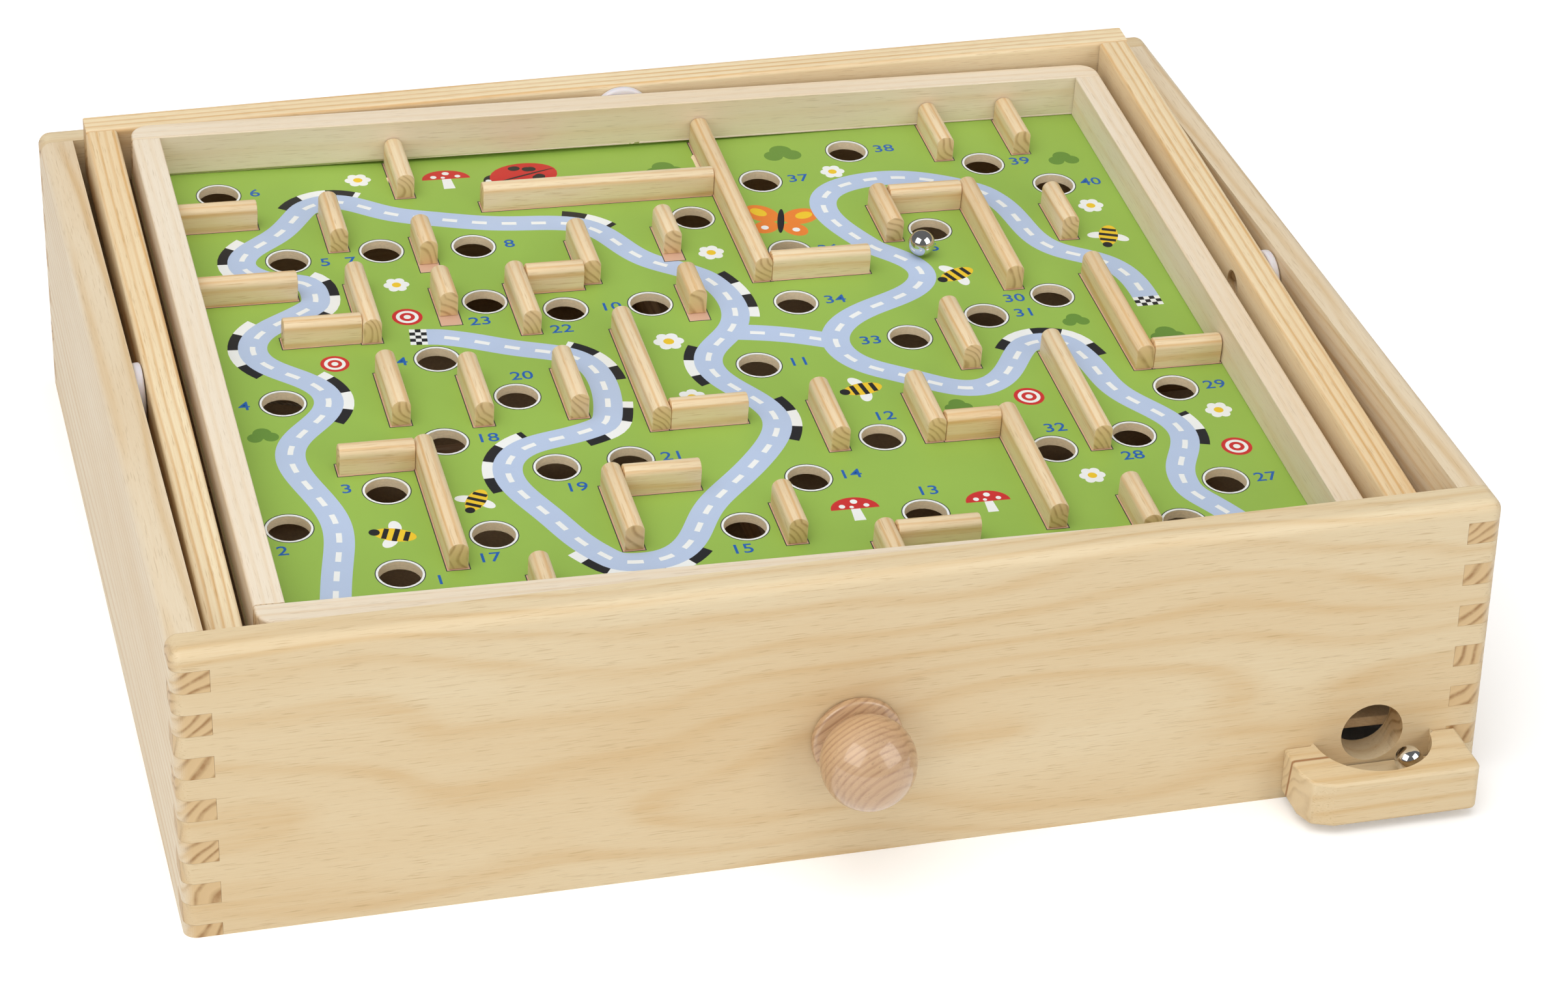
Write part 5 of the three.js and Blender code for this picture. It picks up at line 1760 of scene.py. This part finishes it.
class LABYRINTH_OT_pivots(Maker, bpy.types.Operator):
    """Build the moulded pivots of the ring and the tray"""
    bl_idname = "labyrinth.pivots"
    bl_label = "Pivots"

    def execute(self, context):
        nylon = moulded("moulded_nylon", tuple(context.scene.labyrinth_parts.nylon_colour))
        to_x = Matrix.Rotation(np.pi / 2, 4, "Y")
        to_y = Matrix.Rotation(np.pi / 2, 4, "X")
        side = (INNER_WIDTH + RING_WIDTH) / 4
        end = RING_DEPTH / 2 - RING_T - TRAY_GAP / 2
        spots = {"left_pivot": ((-side, 0, PIVOT_Z), to_x, "box"), "right_pivot": ((side, 0, PIVOT_Z), to_x, "box"),
                 "front_pivot": ((0, -end, 0), to_y, "ring"), "back_pivot": ((0, end, 0), to_y, "ring")}
        for name, (spot, turn, body) in spots.items():
            moulding = pivot().moved(Matrix.Translation(spot) @ turn)
            make_piece("nylon_" + name, moulding, body, [nylon], [name])
        return {"FINISHED"}


class LABYRINTH_OT_balls(Maker, bpy.types.Operator):
    """Build the ball in play and the ball in the catch block"""
    bl_idname = "labyrinth.balls"
    bl_label = "Balls"

    def execute(self, context):
        steel = polished("polished_steel", tuple(context.scene.labyrinth_parts.steel_colour), 0.01)
        play = ball(*PLAY_BALL, PLAY_TOP + SHORT_GAP + BALL_R)
        make_piece("steel_play_ball", play, "play_ball", [steel], ["play_ball"])
        pocket = CATCH_LIFT + CATCH_HEIGHT - POCKET_DEPTH + SHORT_GAP
        back = ball(RETURN_BALL[0], -BOX_DEPTH / 2 - RETURN_BALL[1], pocket + BALL_R)
        make_piece("steel_return_ball", back, "return_ball", [steel], ["return_ball"])
        return {"FINISHED"}


def in_frame(point, place):
    """Point in the row frame, in mm."""
    return np.array(place @ Vector(point))


class LABYRINTH_OT_cords(Maker, bpy.types.Operator):
    """Build the cords that tilt the ring and the tray, with their springs"""
    bl_idname = "labyrinth.cords"
    bl_label = "Cords and springs"

    def execute(self, context):
        settings = context.scene.labyrinth_parts
        cord = twisted("twisted_cord", tuple(settings.cord_colour))
        spring = polished("spring_wire", tuple(settings.steel_colour), 0.2)
        ring_x, ring_y, ring_z = RING_CORD_X, RING_DEPTH / 2 - PEG_INSET, -RING_HEIGHT / 2 - PEG_TIE
        tray_x, tray_y, tray_z = TRAY_WIDTH / 2 - PEG_INSET, TRAY_CORD_Y, PLAY_TOP - PLAYFIELD_T - PEG_TIE
        x_way, y_way = np.eye(3)[:2]
        routes = (
            ("ring", RING_PLACE, (ring_x, -ring_y, ring_z), (ring_x, ring_y, ring_z), (ring_x, 0, SIDE_ROD_Z),
             y_way, x_way, ["ring"]),
            ("tray", TRAY_PLACE, (-tray_x, tray_y, tray_z), (tray_x, tray_y, tray_z), (0, tray_y, FRONT_ROD_Z),
             x_way, y_way, ["ring", "tray"]))
        for name, place, start, end, rod, across, along, bodies in routes:
            self.wind(name, in_frame(start, place), in_frame(end, place), in_frame(rod, BOX_PLACE), across, along,
                      bodies, cord, spring, settings.spring_turns)
        return {"FINISHED"}

    def wind(self, name, start_peg, end_peg, rod, across, along, bodies, cord, spring, turns):
        """Spring at the first peg, run to the rod, two turns round it, and run to the other peg."""
        up = np.array([0, 0, 1.0])
        rod = rod + along * np.dot(start_peg - rod, along)
        towards = (start_peg - rod) / np.linalg.norm(start_peg - rod)
        wind_r = ROD_R + CORD_R + SHORT_GAP
        peg_reach = PEG_R + SHORT_GAP
        spring_start = start_peg - peg_reach * towards
        spring_end = spring_start - SPRING_LENGTH * towards
        low = rod - wind_r * up
        first = low - along * CORD_PITCH * CORD_TURNS / 2
        last = low + along * CORD_PITCH * CORD_TURNS / 2
        coil = helix(rod, along, across, up, wind_r, CORD_TURNS, CORD_PITCH * CORD_TURNS, CORD_R)
        make_piece(f"{name}_cord_turns", coil, "box", [cord], [f"{name}_cord"], placed=True)
        peg_end = end_peg - peg_reach * (end_peg - last) / np.linalg.norm(end_peg - last)
        for way, begin, finish in (("first", first, spring_end), ("last", last, peg_end)):
            marks = np.linspace(0, 1, len(bodies) + 1)[:, None]
            stops = begin * (1 - marks) + finish * marks
            for i in range(len(bodies)):
                run = straight(stops[i], stops[i + 1], CORD_R, 10, 24)
                piece = make_piece(f"{name}_cord_{way}_run_{i + 1}", run, None, [cord], [f"{name}_cord"],
                                   placed=True)
                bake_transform(piece)
        side, rise = square_ways(towards)
        coil = helix((spring_start + spring_end) / 2, towards, side, rise, SPRING_R - SPRING_WIRE_R, turns,
                     SPRING_LENGTH - 2 * SPRING_WIRE_R, SPRING_WIRE_R)
        loop = helix(start_peg, up, side, np.cross(up, side), peg_reach, 1, SPRING_LOOP_RISE, SPRING_WIRE_R)
        make_piece(f"{name}_coil_spring", joined([coil, loop]), bodies[-1], [spring],
                   [f"{name}_spring"], placed=True)


class LABYRINTH_OT_stage(Maker, bpy.types.Operator):
    """Set the floor, the lamps, the sky and the camera"""
    bl_idname = "labyrinth.stage"
    bl_label = "Stage"

    def execute(self, context):
        scene = context.scene
        settings = scene.labyrinth_stage
        self.floor()
        for name, (place, aim, size, power, mirrored) in LAMPS.items():
            self.lamp(name, place, aim, size, getattr(settings, power), mirrored)
        self.sky(scene, settings.sky_strength)
        self.camera(scene)
        scene.view_settings.view_transform = "Standard"
        return {"FINISHED"}

    def floor(self):
        """Plain white floor that takes the shadow; the camera and reflections see it glow a little outside the
        box's inside."""
        half = 3.0
        points = [(-half, -half, 0), (half, -half, 0), (half, half, 0), (-half, half, 0)]
        mesh = bpy.data.meshes.new("studio_floor")
        mesh.from_pydata(points, [], [(0, 1, 2, 3)])
        plane = bpy.data.objects.new("studio_floor", mesh)
        bpy.context.scene.collection.objects.link(plane)
        shader = Shader("studio_floor_white")
        rays = shader.add("ShaderNodeLightPath")
        seen = shader.math("MAXIMUM", rays.outputs["Is Camera Ray"], rays.outputs["Is Glossy Ray"])
        seen = shader.math("MAXIMUM", seen, rays.outputs["Is Transmission Ray"])
        plain = shader.add("ShaderNodeBsdfDiffuse", {"Color": (0.8, 0.8, 0.8, 1)})
        shaded = shader.add("ShaderNodeBsdfDiffuse", {"Color": (0.97, 0.97, 0.97, 1)})
        place = shader.add("ShaderNodeSeparateXYZ", {0: shader.place()})
        beyond = []
        for axis, middle, size in ((0, SHIFT_X, INNER_WIDTH), (1, SHIFT_Y, INNER_DEPTH)):
            away = shader.math("ABSOLUTE", shader.math("SUBTRACT", place.outputs[axis], middle * MM))
            beyond.append(shader.math("SUBTRACT", away, size / 2 * MM))
        outside = shader.remap(shader.math("MAXIMUM", *beyond), 0.0, 0.01, 0.0, 0.2)
        glow = shader.add("ShaderNodeEmission", {"Color": (1, 1, 1, 1), "Strength": outside})
        bright = shader.add("ShaderNodeAddShader", {0: shaded.outputs[0], 1: glow.outputs[0]})
        both = shader.add("ShaderNodeMixShader", {0: seen, 1: plain.outputs[0], 2: bright.outputs[0]})
        shader.fill(shader.tree.nodes["Material Output"], {"Surface": both.outputs[0]})
        mesh.materials.append(shader.material)

    def lamp(self, name, place, aim, size, power, mirrored):
        """Square soft lamp looking at a point: either one that lights, or one that only reflections show."""
        light = bpy.data.lights.new(name, "AREA")
        light.shape = "SQUARE"
        light.size = size
        light.energy = power
        holder = bpy.data.objects.new(name, light)
        holder.location = place
        holder.visible_diffuse = not mirrored
        holder.visible_glossy = mirrored
        way = Vector(aim) - Vector(place)
        holder.rotation_euler = way.to_track_quat("-Z", "Y").to_euler()
        bpy.context.scene.collection.objects.link(holder)

    def sky(self, scene, strength):
        """Even world light, shown white to the camera and dim in reflections, where the lamps stand out."""
        scene.world = bpy.data.worlds.new("studio_sky")
        sky = Nodes(scene.world)
        rays = sky.add("ShaderNodeLightPath")
        light = sky.remap(rays.outputs["Is Glossy Ray"], 0.0, 1.0, strength, 0.3 * strength)
        shown = sky.remap(rays.outputs["Is Camera Ray"], 0.0, 1.0, light, 1.0)
        sky.fill(sky.tree.nodes["Background"], {"Color": (1, 1, 1, 1), "Strength": shown})

    def camera(self, scene):
        """Camera of the photograph: place in mm, and its own right, down and forward directions."""
        right = Vector((0.96862205, -0.24761256, 0.02143208))
        down = Vector((-0.10687798, -0.49283329, -0.86353485))
        forward = Vector((0.22438452, 0.83414829, -0.50383353))
        place = Vector((-287.59, -1083.72, 682.89)) * MM
        picture_width = 2408
        focal_pixels = 6774.5
        data = bpy.data.cameras.new("photo_camera")
        data.sensor_fit = "HORIZONTAL"
        data.sensor_width = 36
        data.lens = focal_pixels / picture_width * data.sensor_width
        data.clip_end = 100
        data.dof.use_dof = False
        holder = bpy.data.objects.new("photo_camera", data)
        turn = Matrix((right, -down, -forward)).transposed().to_4x4()
        holder.matrix_world = Matrix.Translation(place) @ turn
        scene.collection.objects.link(holder)
        scene.camera = holder


GROUPS = {"labyrinth_box": LABYRINTH_PG_box, "labyrinth_tray": LABYRINTH_PG_tray,
          "labyrinth_print": LABYRINTH_PG_print, "labyrinth_parts": LABYRINTH_PG_parts,
          "labyrinth_stage": LABYRINTH_PG_stage}
OPERATORS = (
    LABYRINTH_OT_stage, LABYRINTH_OT_boards, LABYRINTH_OT_floor, LABYRINTH_OT_catch, LABYRINTH_OT_ring,
    LABYRINTH_OT_tray, LABYRINTH_OT_playfield, LABYRINTH_OT_sheet, LABYRINTH_OT_figures, LABYRINTH_OT_sticks,
    LABYRINTH_OT_knobs, LABYRINTH_OT_pivots, LABYRINTH_OT_balls, LABYRINTH_OT_cords,
)


class LABYRINTH_PT_panel(bpy.types.Panel):
    """Buttons for each piece"""
    bl_idname = "LABYRINTH_PT_panel"
    bl_label = "Labyrinth"
    bl_space_type = "VIEW_3D"
    bl_region_type = "UI"
    bl_category = "Labyrinth"

    def draw(self, context):
        for operator in OPERATORS:
            self.layout.operator(operator.bl_idname)


def register():
    """Register the settings, the operators and the panel."""
    for name, group in GROUPS.items():
        bpy.utils.register_class(group)
        setattr(bpy.types.Scene, name, PointerProperty(type=group))
    for operator in OPERATORS:
        bpy.utils.register_class(operator)
    bpy.utils.register_class(LABYRINTH_PT_panel)


def unregister():
    """Take away what register added."""
    bpy.utils.unregister_class(LABYRINTH_PT_panel)
    for operator in reversed(OPERATORS):
        bpy.utils.unregister_class(operator)
    for name, group in GROUPS.items():
        delattr(bpy.types.Scene, name)
        bpy.utils.unregister_class(group)


def main():
    """Build everything in order."""
    register()
    for operator in OPERATORS:
        space, name = operator.bl_idname.split(".")
        getattr(getattr(bpy.ops, space), name)()


if __name__ == "__main__":
    main()
